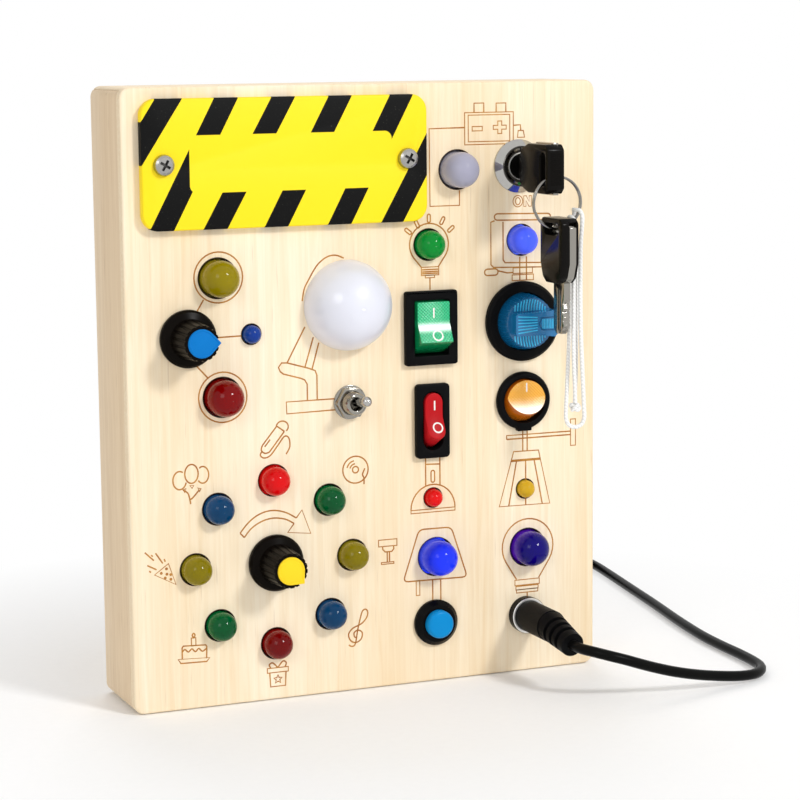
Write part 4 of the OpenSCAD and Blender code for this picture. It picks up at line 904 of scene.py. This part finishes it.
def rounded(points, radius):
    """A closed outline with rounded corners"""
    line = []
    steps = 4  # to one corner
    for i, point in enumerate(points):
        corner = Vector(point)
        before = (Vector(points[i - 1]) - corner).normalized() * radius
        after = (Vector(points[(i + 1) % len(points)]) - corner).normalized() * radius
        for k in range(steps + 1):
            x, z = corner + before * (1 - k / steps) ** 2 + after * (k / steps) ** 2
            line.append((x, z))
    return line + [line[0]]


def pill(x, z, length, width, turn):
    """A long rounded outline round a middle point"""
    c, s = math.cos(math.radians(turn)), math.sin(math.radians(turn))
    half, r = length / 2 - width / 2, width / 2
    line = [(half + r * math.cos(a), r * math.sin(a))
            for a in [math.radians(-90 + 30 * i) for i in range(7)]]
    line += [(-half + r * math.cos(a), r * math.sin(a))
             for a in [math.radians(90 + 30 * i) for i in range(7)]]
    line = [(x + px * c - pz * s, z + px * s + pz * c) for px, pz in line]
    return line + [line[0]]


def curve_through(points, between=6):
    """A drawn line with soft bends through the points"""
    return [(p.x, p.y) for p in smooth_line([(x, z, 0) for x, z in points], between)]


drawings = [
    # battery with its wires
    frame_of(29.5, 161.4, 44.5, 152.5), frame_of(30.6, 160.7, 43.4, 153.3),
    [(32.4, 161.4), (32.4, 164), (35.4, 164), (35.4, 161.4)],
    [(39.2, 161.4), (39.2, 163.9), (42.2, 163.9), (42.2, 161.4)],
    frame_of(31.8, 157.5, 34.9, 156.3),
    [(39.7, 158.9), (40.9, 158.9), (40.9, 157.7), (42.3, 157.7), (42.3, 156.6), (40.9, 156.6),
     (40.9, 155.4), (39.7, 155.4), (39.7, 156.6), (38.3, 156.6), (38.3, 157.7), (39.7, 157.7),
     (39.7, 158.9)],
    [(29.5, 157.3), (18.7, 157.2), (18.8, 135.7), (27.8, 135.7), (27.8, 139.9)],
    [(44.5, 157.6), (46.7, 157.7), (46.8, 156.2)],
    [(46, 156.1), (47.6, 156.1), (48, 154.2), (45.8, 154.2), (46, 156.1)],
    # bulb round the green lamp
    circle(18.4, 125.1, 5.9, -38, 218),
    [(13.75, 121.5), (16, 118.8)], [(23.05, 121.5), (21.2, 118.8)],
    frame_of(16, 118.8, 21.3, 116.5), frame_of(17.2, 116.5, 20, 115.8),
    [(18.6, 115.8), (18.6, 112.4)],
    [(16.2, 118.1), (21.1, 118.1)], [(16.2, 117.5), (21.1, 117.5)], [(16.2, 117), (21.1, 117)],
    *(pill(x, z, 2.3, 0.9, lean) for x, z, lean in (
        (12.1, 129, 142), (14.8, 130.9, 117), (18.4, 132.4, 90), (22.5, 131.6, 62),
        (25.1, 129.2, 40))),
    # screen round the blue lamp
    pill(47.3, 131.8, 17.6, 1.8, -1.5),
    [(38.6, 131), (37.4, 130.6), (37.4, 118.6), (38.2, 117.8), (57, 117.2), (57.6, 117.8),
     (57.6, 129.6), (56.8, 130.4)],
    [(41.2, 130.6), (41.2, 119.8), (41.8, 119), (53, 118.6), (53.6, 119.2), (53.6, 130.2)],
    [(46.4, 120.5), (46.4, 113.9)], [(48.5, 120.5), (48.5, 113.8)],
    frame_of(44.3, 117.4, 50.4, 115.8), frame_of(44, 115.4, 50.7, 113.8),
    pill(37.5, 116.5, 4.2, 1.8, 0), [(39.6, 116.8), (42.4, 116.1), (44.3, 116.1)],
    # rings and leads round the mode knob
    circle(-43.6, 118.7, 6.9), circle(-43, 86, 6.9),
    [(-44.6, 102.4), (-37.4, 102.5)], [(-50, 109.5), (-47.9, 112.9)],
    [(-50.4, 95.1), (-47.1, 91.5)],
    # desk lamp behind the dome: shade, arms, bent neck, foot
    curve_through([(-19.6, 111.1), (-19, 114.2), (-17.9, 116.4), (-15.2, 120.6), (-12.4, 122.8),
                   (-9.7, 123.3), (-7.2, 122.4)]),
    [(-18.9, 104), (-24.3, 94.3)], [(-16.5, 101), (-19.1, 92.7)], [(-14.9, 99.4), (-17, 92.1)],
    [(-15.6, 83.6), (-15.6, 90.4), (-16.1, 91.7), (-17.8, 92.4), (-24.2, 94.3), (-25.9, 94.4),
     (-26.8, 93.2), (-26.3, 92), (-25.4, 91.3), (-20.3, 89.8), (-19.2, 89.3), (-18.5, 88.1),
     (-18.5, 83.7)],
    [(-9.8, 83.5), (-24.7, 83.5), (-24.6, 80.2), (-9.7, 80.4)],
    # ribbed hanging lamp with its wall arm
    [(47.2, 71.2), (47.2, 64.5)], [(48.6, 71.2), (48.6, 64.5)],
    [(42.1, 68.3), (42.1, 69.4), (62.5, 69.3)], [(42.1, 68.3), (62.5, 68.3)],
    frame_of(62.5, 72.8, 64.1, 65.1),
    [(44.3, 64.6), (52.2, 64.5), (55.8, 48.7), (39.7, 48.9), (44.3, 64.6)],
    [(43.6, 62.1), (52.8, 62.1)], [(43.5, 61.8), (52.9, 61.8)],
    [(45.2, 61.8), (42.7, 48.9)], [(48.1, 62), (48.1, 48.9)], [(50.8, 61.8), (53.4, 48.7)],
    # half-round lamp with its strap
    [(16.8, 64.9), (16.8, 56.8)], [(21.2, 64.9), (21.2, 56.7)], [(16.8, 63), (21.2, 62.8)],
    pill(19, 59.4, 3.4, 1.1, 90),
    circle(19, 50.1, 6.8, 0, 180, tall=7), frame_of(12.2, 50.05, 25.8, 49.15),
    # lampshade and foot round the lit blue lamp
    rounded([(14.6, 44.4), (24.6, 44.3), (29.5, 29.4), (9.6, 29.7)], 1.6),
    frame_of(13.6, 29.7, 14.7, 25.4), [(18.7, 29.6), (18.7, 23.2)], [(21.2, 29.5), (21.2, 23)],
    # bulb round the purple lamp
    circle(48.7, 36.6, 8.1, -32, 212),
    [(41.83, 32.3), (45.1, 27.1)], [(55.57, 32.3), (52.2, 27.1)],
    frame_of(44.6, 26.9, 52.4, 25.3), frame_of(44.9, 25, 52, 24), frame_of(45.1, 24, 51.9, 23.1),
    [(48.5, 23.1), (48.5, 21.6)],
    # turning arrow above the selector
    curve_through([(-38.8, 48), (-36.7, 50.4), (-34.2, 52.3), (-31.3, 53.4), (-28.3, 53.5),
                   (-25.2, 52.6), (-22.3, 50.9)]),
    [(-22.3, 50.9), (-20.6, 53), (-18.1, 46.2), (-24.9, 47), (-23, 49.4)],
    curve_through([(-23, 49.4), (-25.5, 50.8), (-28.6, 51.4), (-31.4, 51.1), (-33.9, 50.1),
                   (-35.9, 48.7), (-37.6, 46.7)]),
    [(-37.6, 46.7), (-38.8, 48)],
    # three balloons
    circle(-55.8, 64, 1.9, 60, 345, tall=2.5), circle(-52.4, 65.6, 1.9, tall=2.6),
    circle(-49.2, 65.1, 1.7, -140, 125, tall=2.3),
    curve_through([(-54.9, 61.4), (-53.6, 60.4), (-53.1, 59), (-52.8, 57.3)]),
    curve_through([(-50.2, 61.1), (-51.2, 60), (-52.4, 58.8), (-53.1, 58.6)]),
    [(-54.9, 61.4), (-54, 61.7), (-54.4, 60.6), (-54.9, 61.4)],
    [(-50.7, 61.6), (-49.8, 61.3), (-50.2, 60.5), (-50.7, 61.6)],
    [(-52.9, 62.4), (-51.8, 62.4), (-52.3, 61.6), (-52.9, 62.4)],
    # microphone
    [(-31.9, 71.9), (-27.6, 77)], [(-29.9, 69.9), (-25.4, 75.4)],
    curve_through([(-31.9, 71.9), (-32.2, 70.6), (-31.2, 69.7), (-29.9, 69.9)]),
    circle(-26, 76.7, 1.75, -50, 170, tall=1.6),
    curve_through([(-32, 70.4), (-32.5, 69.2), (-31.4, 68.4), (-29.6, 69), (-27.4, 71.6),
                   (-25.4, 74), (-24.1, 73.4), (-23.9, 71), (-25, 69)]),
    [(-31.2, 71.5), (-29.6, 73.4)], [(-27.6, 77), (-25.4, 75.4)],
    # disc
    circle(-4.5, 63.1, 3.8), circle(-4.5, 63.1, 0.9),
    circle(-4.5, 63.1, 1.7, 95, 165), circle(-4.5, 63.1, 2.6, 100, 165),
    curve_through([(-1.7, 63.3), (-2.4, 61.6), (-2, 60.6), (-2, 58.8)]),
    # goblet
    frame_of(2.2, 42.4, 7.8, 40.5), frame_of(3, 35.9, 6.8, 35.4),
    [(3.4, 40.5), (3.5, 39.6), (4.2, 38.9), (6.2, 38.9), (6.8, 39.6), (6.8, 40.5)],
    [(4.8, 38.9), (4.8, 36)], [(5.5, 38.9), (5.5, 36)],
    # treble clef
    curve_through([(-7.2, 13.2), (-6.2, 12.7), (-5.2, 13.4), (-4.4, 17.4), (-3.6, 20.6),
                   (-2.9, 22.6), (-1.9, 23), (-1.3, 22), (-1.8, 20.4), (-3.4, 18.9), (-5.9, 17.9),
                   (-7.2, 16.3), (-6.6, 14.4), (-5, 13.7), (-3.4, 14.6), (-3.1, 16.4),
                   (-4.3, 17.2), (-5.5, 16.6), (-5.4, 15.4), (-4.7, 15)], 4),
    # gift box
    frame_of(-31.6, 9, -25.4, 7.7), [(-30.9, 7.7), (-30.7, 3.7), (-26.3, 3.7), (-26.1, 7.7)],
    curve_through([(-28.5, 9), (-30, 10.5), (-31, 10), (-30.6, 9.1)], 4),
    curve_through([(-28.5, 9), (-27, 10.7), (-26, 10.2), (-26.3, 9.1)], 4),
    [(-28.5 + (1.3 if i % 2 == 0 else 0.55) * math.sin(math.radians(36 * i)),
      5.7 + (1.3 if i % 2 == 0 else 0.55) * math.cos(math.radians(36 * i))) for i in range(10)]
    + [(-28.5, 7)],
    # cake on a plate
    [(-56.2, 14.3), (-56.2, 17.5), (-55.8, 18), (-49.4, 17.7), (-49.1, 17.2), (-49.2, 13.9)],
    curve_through([(-56.1, 16.4), (-55.4, 17), (-54.4, 16.2), (-53.4, 17), (-52.4, 16.1),
                   (-51.4, 16.9), (-50.4, 16), (-49.2, 16.7)], 4),
    [(-57.4, 14.4), (-48.3, 14), (-49.2, 13), (-56.6, 13.2), (-57.4, 14.4)],
    frame_of(-53.5, 20, -52.2, 17.8), curve_through([(-52.8, 20), (-53.2, 20.7), (-52.8, 21.3),
                                                     (-52.4, 20.7), (-52.8, 20)], 3),
    # party popper
    [(-59.5, 41.4), (-63.5, 38.6), (-57.5, 35.4), (-59.5, 41.4)],
    [(-66.1, 45), (-63.6, 42.6)], [(-63.1, 44.6), (-61.1, 41.6)], [(-65.5, 41.4), (-62.9, 40)],
    [(-64.3, 44.2), (-63.9, 43.7)], [(-60.7, 42.8), (-60.4, 42)], [(-65, 39.8), (-64.5, 39.4)],
]
drawings += [circle(x, z, 0.22, steps=8) for x, z in (
    (-60.1, 40), (-61.6, 38.9), (-60, 38.5), (-58.9, 38.3), (-60.5, 37.5), (-58.9, 37))]
engraving = strokes("engraved_drawings", drawings, 0.42, 0.06, at)
finish_piece(engraving, "board", scorched, "basswood_ply")
letters = strokes("engraved_on", [
    circle(45.85, 136.25, 1.5, tall=1.6), circle(45.85, 136.25, 0.75, tall=1.0),
    [(47.7, 134.7), (47.7, 137.7), (48.5, 137.7), (49.4, 136), (49.4, 137.7), (50.1, 137.7),
     (50.1, 134.7), (49.3, 134.7), (48.4, 136.4), (48.4, 134.7), (47.7, 134.7)],
], 0.3, 0.06, at)
finish_piece(letters, "board", scorched, "basswood_ply")

# a thin burned rim shows round each lamp hole
burned_rims = strokes("burned_hole_rims", [
    circle(x, z, d / 2 + HOLE_GAP[d] + 0.08, steps=64) for x, z, d in LAMPS.values()],
    0.22, 0.04, at)
finish_piece(burned_rims, "board", charred_wood, "basswood_ply")

# ---- striped plate and its screws ----
finish_piece(softened("striped_plate", "sign_plate", 0.5, 3), "board", plate_print, "sign_yellow",
             ("sign_plate",))
ARM_LONG, ARM_WIDE = 1.55, 0.36  # half the size of each arm of the cross recess
RECESS_FLOOR, RECESS_RIM = 3.7, 4.7
for (x, z), name in zip(SIGN_SCREWS, ("left_plate_screw", "right_plate_screw")):
    screw = lathe(name, [(0, -3), (1.45, -3), (1.45, 3), (2.85, 3), (2.85, 3.5), (2.6, 4.4),
                         (2, 4.85), (0, 5)], (x, z), steps=48)
    middle = Matrix.Translation(at(x, z))
    for angle in (30, 120):
        arm = box_piece("recess_arm", (x - ARM_LONG, FRONT - 6, z - ARM_WIDE),
                        (x + ARM_LONG, FRONT - RECESS_FLOOR, z + ARM_WIDE))
        arm.data.transform(middle @ Matrix.Rotation(math.radians(angle), 4, "Y")
                           @ middle.inverted())
        cut_away(screw, arm)
    paint(screw, zinc_steel, shaded_recess)
    for face in screw.data.polygons:
        across, back, up = face.center / MM
        inside = math.hypot(across - x, up - z) < ARM_LONG + 0.05
        if inside and FRONT - RECESS_RIM < back < FRONT - RECESS_FLOOR + 0.2:
            face.material_index = 1
    smooth(screw)
    finish_piece(screw, "board", None, "nickel")
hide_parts("sign_screws")

# ---- switch housings and rockers ----
for name, node, body, material, slot, width in (
    ("green_frame", "green_housing", "board", black_abs, "gloss_black", 0.35),
    ("red_frame", "red_housing", "board", black_abs, "gloss_black", 0.35),
    ("amber_frame", "amber_housing", "board", black_abs, "gloss_black", 0.25),
    ("green_key", "green_rocker", "green_rocker", clear_green, "clear_green", 0.35),
    ("red_key", "red_rocker", "red_rocker", red_abs, "red_plastic", 0.3),
    ("amber_key", "amber_rocker", "amber_rocker", clear_amber, "clear_amber", 0.3),
    ("blue_push_cap", "button_cap", "push_button", button_blue, "button_blue", 0.35),
    ("hex_nut_and_washer", "toggle_nut", "board", nickel, "nickel", 0.12),
    ("key_blank", "key", "key", nickel, "nickel", 0.1),
    ("key_bow", "key_cover", "key", grip_black, "gloss_black", 0.45),
    ("spare_blank", "spare_key", "spare_key", nickel, "nickel", 0.1),
    ("spare_bow", "spare_cover", "spare_key", grip_black, "gloss_black", 0.45),
):
    finish_piece(softened(name, node, width), body, material, slot, (node,))


# teardrop caps of the two pointer knobs
def teardrop(radius, tip):
    """A circle with two straight sides that meet in a tip to the right"""
    touch = math.degrees(math.acos(radius / tip))
    return [(tip, 0)] + circle(0, 0, radius, touch, 360 - touch, steps=48)


CAP_FOOT, CAP_TOP = 12.3, 13.36  # in front of the board
for node, body, place, turn, material, slot in (
    ("mode_cap", "mode_knob", MODE, 0, cap_blue, "cap_blue"),
    ("selector_cap", "selector_knob", SELECTOR, -45, cap_yellow, "cap_yellow"),
):
    cap = slab(node + "_top", teardrop(3.875, 5.35), CAP_FOOT, CAP_TOP, place, turn)
    round_edges(cap, 0.15)
    finish_piece(cap, body, material, slot, (node,))
    # low raised lip along the cap's edge
    edge = teardrop(3.45, 4.8)
    lip = strokes(node + "_lip", [edge + edge[:1]], 0.42, 0.28, around(place, CAP_TOP, turn))
    finish_piece(lip, body, material, slot)

# toggle switch: plated neck in front, red body behind the board
toggle_case = softened("toggle_case", "toggle_body", 0.15)
paint(toggle_case, nickel, red_phenolic)
for face in toggle_case.data.polygons:
    face.material_index = 0 if face.center.y < (FRONT + PANEL + 0.1) * MM else 1
finish_piece(toggle_case, "board", None, "red_phenolic", ("toggle_body",))

# spring under the push button: 7.5 mm long at rest, 5 mm when the button is pressed home
spring = softened("button_coil_spring", "button_spring", 0.04)
finish_piece(spring, "board", spring_wire, "spring_steel", ("button_spring",))
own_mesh(spring)


def on_rocker(place, half_length, pivot, peak):
    """Puts a drawing on the front face of a rocker that rests with its lower end out"""
    tilt = math.radians(13.5)
    valley = peak - (half_length - peak * math.sin(tilt)) / math.cos(tilt) * math.tan(tilt)

    def put(x, y, lift):
        rise = valley + abs(y) * math.tan(tilt) + lift
        return at(place[0] + x, place[1] + y * math.cos(tilt) + rise * math.sin(tilt),
                  pivot - y * math.sin(tilt) + rise * math.cos(tilt))
    return put


# white on and off marks
for name, body, put, marks, width in (
    ("green_marks", "green_rocker", on_rocker(GREEN_ROCKER, 7.5, -3.5, 8.3),
     [[(0, 1.3), (0, 4.0)], circle(0.5, -3.75, 1.4, steps=32)], 0.42),
    ("red_marks", "red_rocker", on_rocker(RED_ROCKER, 8, -3, 7.2),
     [[(0.15, 1.8), (0.15, 4.4)], circle(0.5, -3.2, 1.35, steps=32)], 0.45),
    ("amber_mark", "amber_rocker", on_rocker(AMBER_ROCKER, 6.1, -1.5, 5.9),
     [[(0, 1.6), (0, 4.1)]], 0.4),
):
    finish_piece(strokes(name, marks, width, 0.06, put), body, white_ink)

# turning knob: fine curved ribs on its face, ridges and a ribbed window on its grip, all painted
# lighter blue as painted highlight, and window edge lines painted deep blue as painted shade
FACE_RADIUS = 6.75
GRIP_EDGE = 3.5
FACE_OUT, GRIP_OUT = 6.0, 9.8
face_ribs = []
for step in range(13):
    x = -4.6 + 0.85 * step
    end = math.sqrt(max(FACE_RADIUS ** 2 - (x + 0.3) ** 2, 0))
    if end > GRIP_EDGE + 0.7:
        for side in (-1, 1):
            face_ribs.append([(x + 0.05 * (z - GRIP_EDGE) ** 2 - 0.3, side * z)
                              for z in (GRIP_EDGE, (GRIP_EDGE + end) / 2, end)])
grip_ridges = [[(-5.7, 2.35 - 0.94 * i), (0.3, 1.9 - 0.72 * i)] for i in range(6)]
window_ribs = [[(2 + 0.48 * i, -1.35), (2 + 0.48 * i, 1.35)] for i in range(10)]
window_edges = [[(0.9, 0), (1.7, 1.7), (6.7, 1.9)], [(0.9, 0), (1.7, -1.7), (6.7, -1.9)]]
for name, lines, width, out, material in (
    ("rotary_face_ribs", face_ribs, 0.42, FACE_OUT, rib_highlight_blue),
    ("rotary_grip_ridges", grip_ridges, 0.34, GRIP_OUT, rib_highlight_blue),
    ("rotary_window_ribs", window_ribs, 0.26, GRIP_OUT, rib_highlight_blue),
    ("rotary_window_edges", window_edges, 0.3, GRIP_OUT, groove_shade_blue),
):
    finish_piece(strokes(name, lines, width, width, around(ROTARY, out)), "rotary_knob",
                 material, "clear_blue")

# lock: dished inner face in dark metal as painted reflection, thin near-white circle round the
# cylinder as painted highlight, green dot below it
finish_piece(lathe("lock_face_ring", [(4.65, 1.9), (4.65, 2.16), (5.5, 2.56), (5.72, 2.4),
                                      (4.65, 1.9)], LOCK), "board", lock_face_dark_reflection, "chrome")
finish_piece(lathe("cylinder_face_ring", [(3.7, 1.8), (3.7, 2.02), (4.45, 2.36), (4.5, 1.9),
                                          (3.7, 1.8)], LOCK), "lock_cylinder", lock_face_dark_reflection,
             "chrome")
# the two thin rims are near-white metal, a painted highlight
for name, body, radius in (("lock_outer_rim", "board", 5.5),
                           ("cylinder_rim", "lock_cylinder", 3.62)):
    finish_piece(strokes(name, [circle(0, 0, radius, steps=64)], 0.5, 0.45,
                         around(LOCK, 2.1)), body, rim_glint_metal, "chrome")
finish_piece(lathe("lock_dot", [(0, 2.3), (0.45, 2.3), (0.42, 2.52), (0, 2.56)],
                   (LOCK[0] - 0.8, LOCK[1] - 4.85), steps=20), "board", dot_green, "chrome")

# key grip: metal shows along its two long edges, fine ribs on its outer end
KEY_GRIP_OUT = (11.8, 22.6)  # where the bare edges begin and end in front of the board
KEY_GRIP_HALF = 6.5
for name, side in (("key_edge_top", 1), ("key_edge_foot", -1)):
    rim = LOCK[1] + side * KEY_GRIP_HALF
    edge = box_piece(name, (LOCK[0] - 0.1, FRONT - KEY_GRIP_OUT[1], rim),
                     (LOCK[0] + 1.6, FRONT - KEY_GRIP_OUT[0], rim + side * 0.65))
    round_edges(edge, 0.18)
    finish_piece(edge, "key", nickel, "nickel")
finish_piece(strokes("key_end_ribs", [[(-1.6, 4.6 - 0.55 * i), (1.9, 4.6 - 0.55 * i)]
                                      for i in range(17)], 0.28, 0.2, around(LOCK, 24.1)),
             "key", grip_black, "gloss_black")

# toggle: bright threaded bush over the switch body's neck
thread = [(3.02 + 0.13 * (i % 2), 5.35 - 0.24 * i) for i in range(13)]
finish_piece(lathe("toggle_bush", [(2.5, 5.3), (2.5, 5.6), (2.85, 5.6)] + thread, TOGGLE),
             "board", nickel, "nickel")

# socket: thin ring round the plug, in near-white metal as a painted highlight
finish_piece(strokes("socket_ring", [circle(0, 0, 4.8, steps=64)], 0.8, 0.6,
                     around(JACK, 2.65)), "board", rim_glint_metal, "chrome")

# split ring: two turns of wire side by side, with a step where they cross over
RING_RADIUS = 7.15
RING_WIRE = 0.64
RING_STEPS = 132  # for both turns; the wire steps over between the 60th and the 72nd
ring_turns = []
for step in range(RING_STEPS + 1):
    turn = math.radians(200 + 360 * 2 * step / RING_STEPS)
    aside = 0.33 * min(max((step - 66) / 6, -1), 1)
    ring_turns.append((KEY_RING[0] + RING_RADIUS * math.cos(turn), KEY_RING[1] + aside,
                       KEY_RING[2] + RING_RADIUS * math.sin(turn)))
split_ring = wire_mesh("split_ring", ring_turns, RING_WIRE, 3)
finish_piece(split_ring, "key_ring", ring_steel, "chrome", ("key_ring",))

# far end of the lead: a moulded grip with a tapered sleeve, a pressed shell and its tongue
def from_grip(x, y, z):
    """A corner in millimetres from the middle of the grip's rear end"""
    return USB[0] + x, USB[1] + y, USB[2] + z


GRIP_HALF = 4  # half its thickness
usb_grip = box_piece("usb_grip", from_grip(-7.5, -25, -GRIP_HALF), from_grip(7.5, 0, GRIP_HALF))
round_edges(usb_grip, 2.2, 5)
grip_bars = strokes("usb_grip_bars", [[(-4.6, -5 - 2.4 * i), (4.6, -5 - 2.4 * i)]
                                      for i in range(6)], 0.9, 0.5,
                    lambda x, y, h: Vector(from_grip(x, y, GRIP_HALF + h)) * MM)
# the sleeve tapers off behind the grip's rear end
usb_sleeve = lathe("usb_sleeve", [(radius, FRONT - USB[1] - back) for radius, back in (
    (0, -1), (3.4, -1), (3.2, 0.6), (2.1, 7.6), (1.6, 8), (0, 8))],
                   (USB[0], USB[2] + 0.1), steps=32)
# pressed shell, 12 x 4.5 mm outside, with two square windows
usb_shell = box_piece("usb_shell", from_grip(-6, -39, -2.25), from_grip(6, -24, 2.25))
round_edges(usb_shell, 0.45, 3)
shell_cuts = [box_piece("shell_inside", from_grip(-5.65, -40, -1.9), from_grip(5.65, -26, 1.9))]
for x in (-3.1, 3.1):
    shell_cuts.append(box_piece("shell_window", from_grip(x - 1.2, -34.5, -3),
                                from_grip(x + 1.2, -32, 3)))
cut_away(usb_shell, joined(shell_cuts))
usb_tongue = box_piece("usb_tongue", from_grip(-5.3, -38.4, -0.1), from_grip(5.3, -25.5, 1.7))
round_edges(usb_tongue, 0.2)
usb_pieces = [usb_grip, grip_bars, usb_sleeve, usb_shell, usb_tongue]
for piece, material, slot in zip(
        usb_pieces, (black_abs, black_abs, lead_pvc, nickel, nylon),
        ("lead_black", "lead_black", "lead_black", "nickel", "nylon")):
    finish_piece(piece, "board", material, slot)
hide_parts("usb_plug")

# strap that holds the coil together
strap = box_piece("coil_strap", (-3.6, -2.2, 0), (3.6, 2.2, 9.3))
round_edges(strap, 1.1, 4)
tab = box_piece("strap_tab", (-2.4, -2, 8.9), (2.4, 5.2, 9.9))
round_edges(tab, 0.4)
strap = joined([strap, tab])
STRAP_TURN = math.radians(120)
COIL_RADIUS = 17.5  # halfway between the coil's inner and outer ring
strap.data.transform(
    Matrix.Translation(((COIL_MIDDLE[0] + COIL_RADIUS * math.cos(STRAP_TURN)) * MM,
                        (COIL_MIDDLE[1] + COIL_RADIUS * math.sin(STRAP_TURN)) * MM, 0))
    @ Matrix.Rotation(STRAP_TURN, 4, "Z"))
finish_piece(strap, "board", black_abs, "lead_black")

# ---- the lead and the white cord ride on their bodies ----
finish_piece(lead, "board", lead_pvc, "lead_black", ("power_cord", "cord_coil"))

# the two ends of the white cord meet in a small tangled knot
KNOT = (STRING_FOOT[0] + 1.05, STRING_FOOT[1], STRING_FOOT[2] - 50.85)
knot_line = []
for step in range(61):
    turn = math.radians(6 * step)
    swell = 0.62 + 0.3 * math.cos(3 * turn)
    knot_line.append((KNOT[0] + 1.35 * swell * math.cos(2 * turn),
                      KNOT[1] + 1.35 * swell * math.sin(2 * turn),
                      KNOT[2] + 0.75 * math.sin(3 * turn)))
knot = wire_mesh("cord_knot", knot_line, 1.15, 2)
finish_piece(knot, "key_ring", cord_white, "white_cord")
finish_piece(string, "key_ring", cord_white, "white_cord", ("key_string",))

[v * MM for v in string_points[0]]

# ---- floor, lights and surroundings ----
def rays(owner):
    """Rays straight from the camera, and rays that come off a gloss or through a clear piece"""
    path = add(owner, "ShaderNodeLightPath")
    through = add(owner, "ShaderNodeMath", {
        0: path.outputs["Is Glossy Ray"], 1: path.outputs["Is Transmission Ray"]},
        operation="MAXIMUM")
    return path.outputs["Is Camera Ray"], through


deselect()
bpy.ops.mesh.primitive_plane_add(size=6, location=(0, 0, -0.0002))
floor = bpy.context.object
floor.name = "pale_floor"
floor_paint, floor_shader, floor_place = new_material("pale_floor", Roughness=0.9)
grain = add(floor_paint, "ShaderNodeTexNoise", {"Vector": floor_place, "Scale": 400.0})
tone = add(floor_paint, "ShaderNodeMix", {
    "Factor": grain, "A": linear("#FFFFFF"), "B": linear("#FBFBFB")}, data_type="RGBA")
feed(floor_paint, floor_shader, Base_Color=tone)
# away from the board the floor runs into the white background without a horizon
reach = add(floor_paint, "ShaderNodeVectorMath", {0: floor_place}, operation="LENGTH")
away = add(floor_paint, "ShaderNodeMapRange", {"Value": reach, "From Min": 0.08, "From Max": 0.2})
direct, through = rays(floor_paint)
seen = add(floor_paint, "ShaderNodeMath", {0: direct, 1: away}, operation="MULTIPLY")
# mirrored or seen through a clear piece, the floor is the same white
bare = add(floor_paint, "ShaderNodeMath", {0: seen, 1: through}, operation="MAXIMUM")
plain_white = add(floor_paint, "ShaderNodeEmission", {"Color": (1, 1, 1, 1), "Strength": 1.0})
give(floor_paint, floor_paint.node_tree.nodes["Material Output"].inputs["Surface"],
     add(floor_paint, "ShaderNodeMixShader", {0: bare, 1: floor_shader, 2: plain_white}))
paint(floor, floor_paint)

world = bpy.data.worlds.new("studio")
scene.world = world
world.use_nodes = True
soft_light = world.node_tree.nodes["Background"]
give(world, soft_light.inputs["Color"], (1, 1, 1, 1))
give(world, soft_light.inputs["Strength"], 0.55)
white = add(world, "ShaderNodeBackground", {"Color": (1, 1, 1, 1), "Strength": 1.0})
# seen directly, mirrored or through a clear piece, the surroundings are plain white
direct, through = rays(world)
plain = add(world, "ShaderNodeMath", {0: direct, 1: through}, operation="MAXIMUM")
give(world, world.node_tree.nodes["World Output"].inputs["Surface"],
     add(world, "ShaderNodeMixShader", {0: plain, 1: soft_light, 2: white}))


def softbox(name, place, size, power):
    """A square light that faces the middle of the board"""
    data = bpy.data.lights.new(name, "AREA")
    data.size = size
    data.energy = power
    light = bpy.data.objects.new(name, data)
    light.location = place
    aim = Vector((0, 0, 0.085)) - Vector(place)
    light.rotation_euler = aim.to_track_quat("-Z", "Y").to_euler()
    scene.collection.objects.link(light)


# from the right in front, from the left in front and from behind
softbox("key_light", (0.45, -0.95, 0.75), 0.21, 6.9)
softbox("fill_light", (-0.75, -0.75, 0.55), 0.42, 1.9)
softbox("back_light", (0.2, 0.9, 0.9), 0.6, 3.5)

scene.view_settings.view_transform = "Standard"
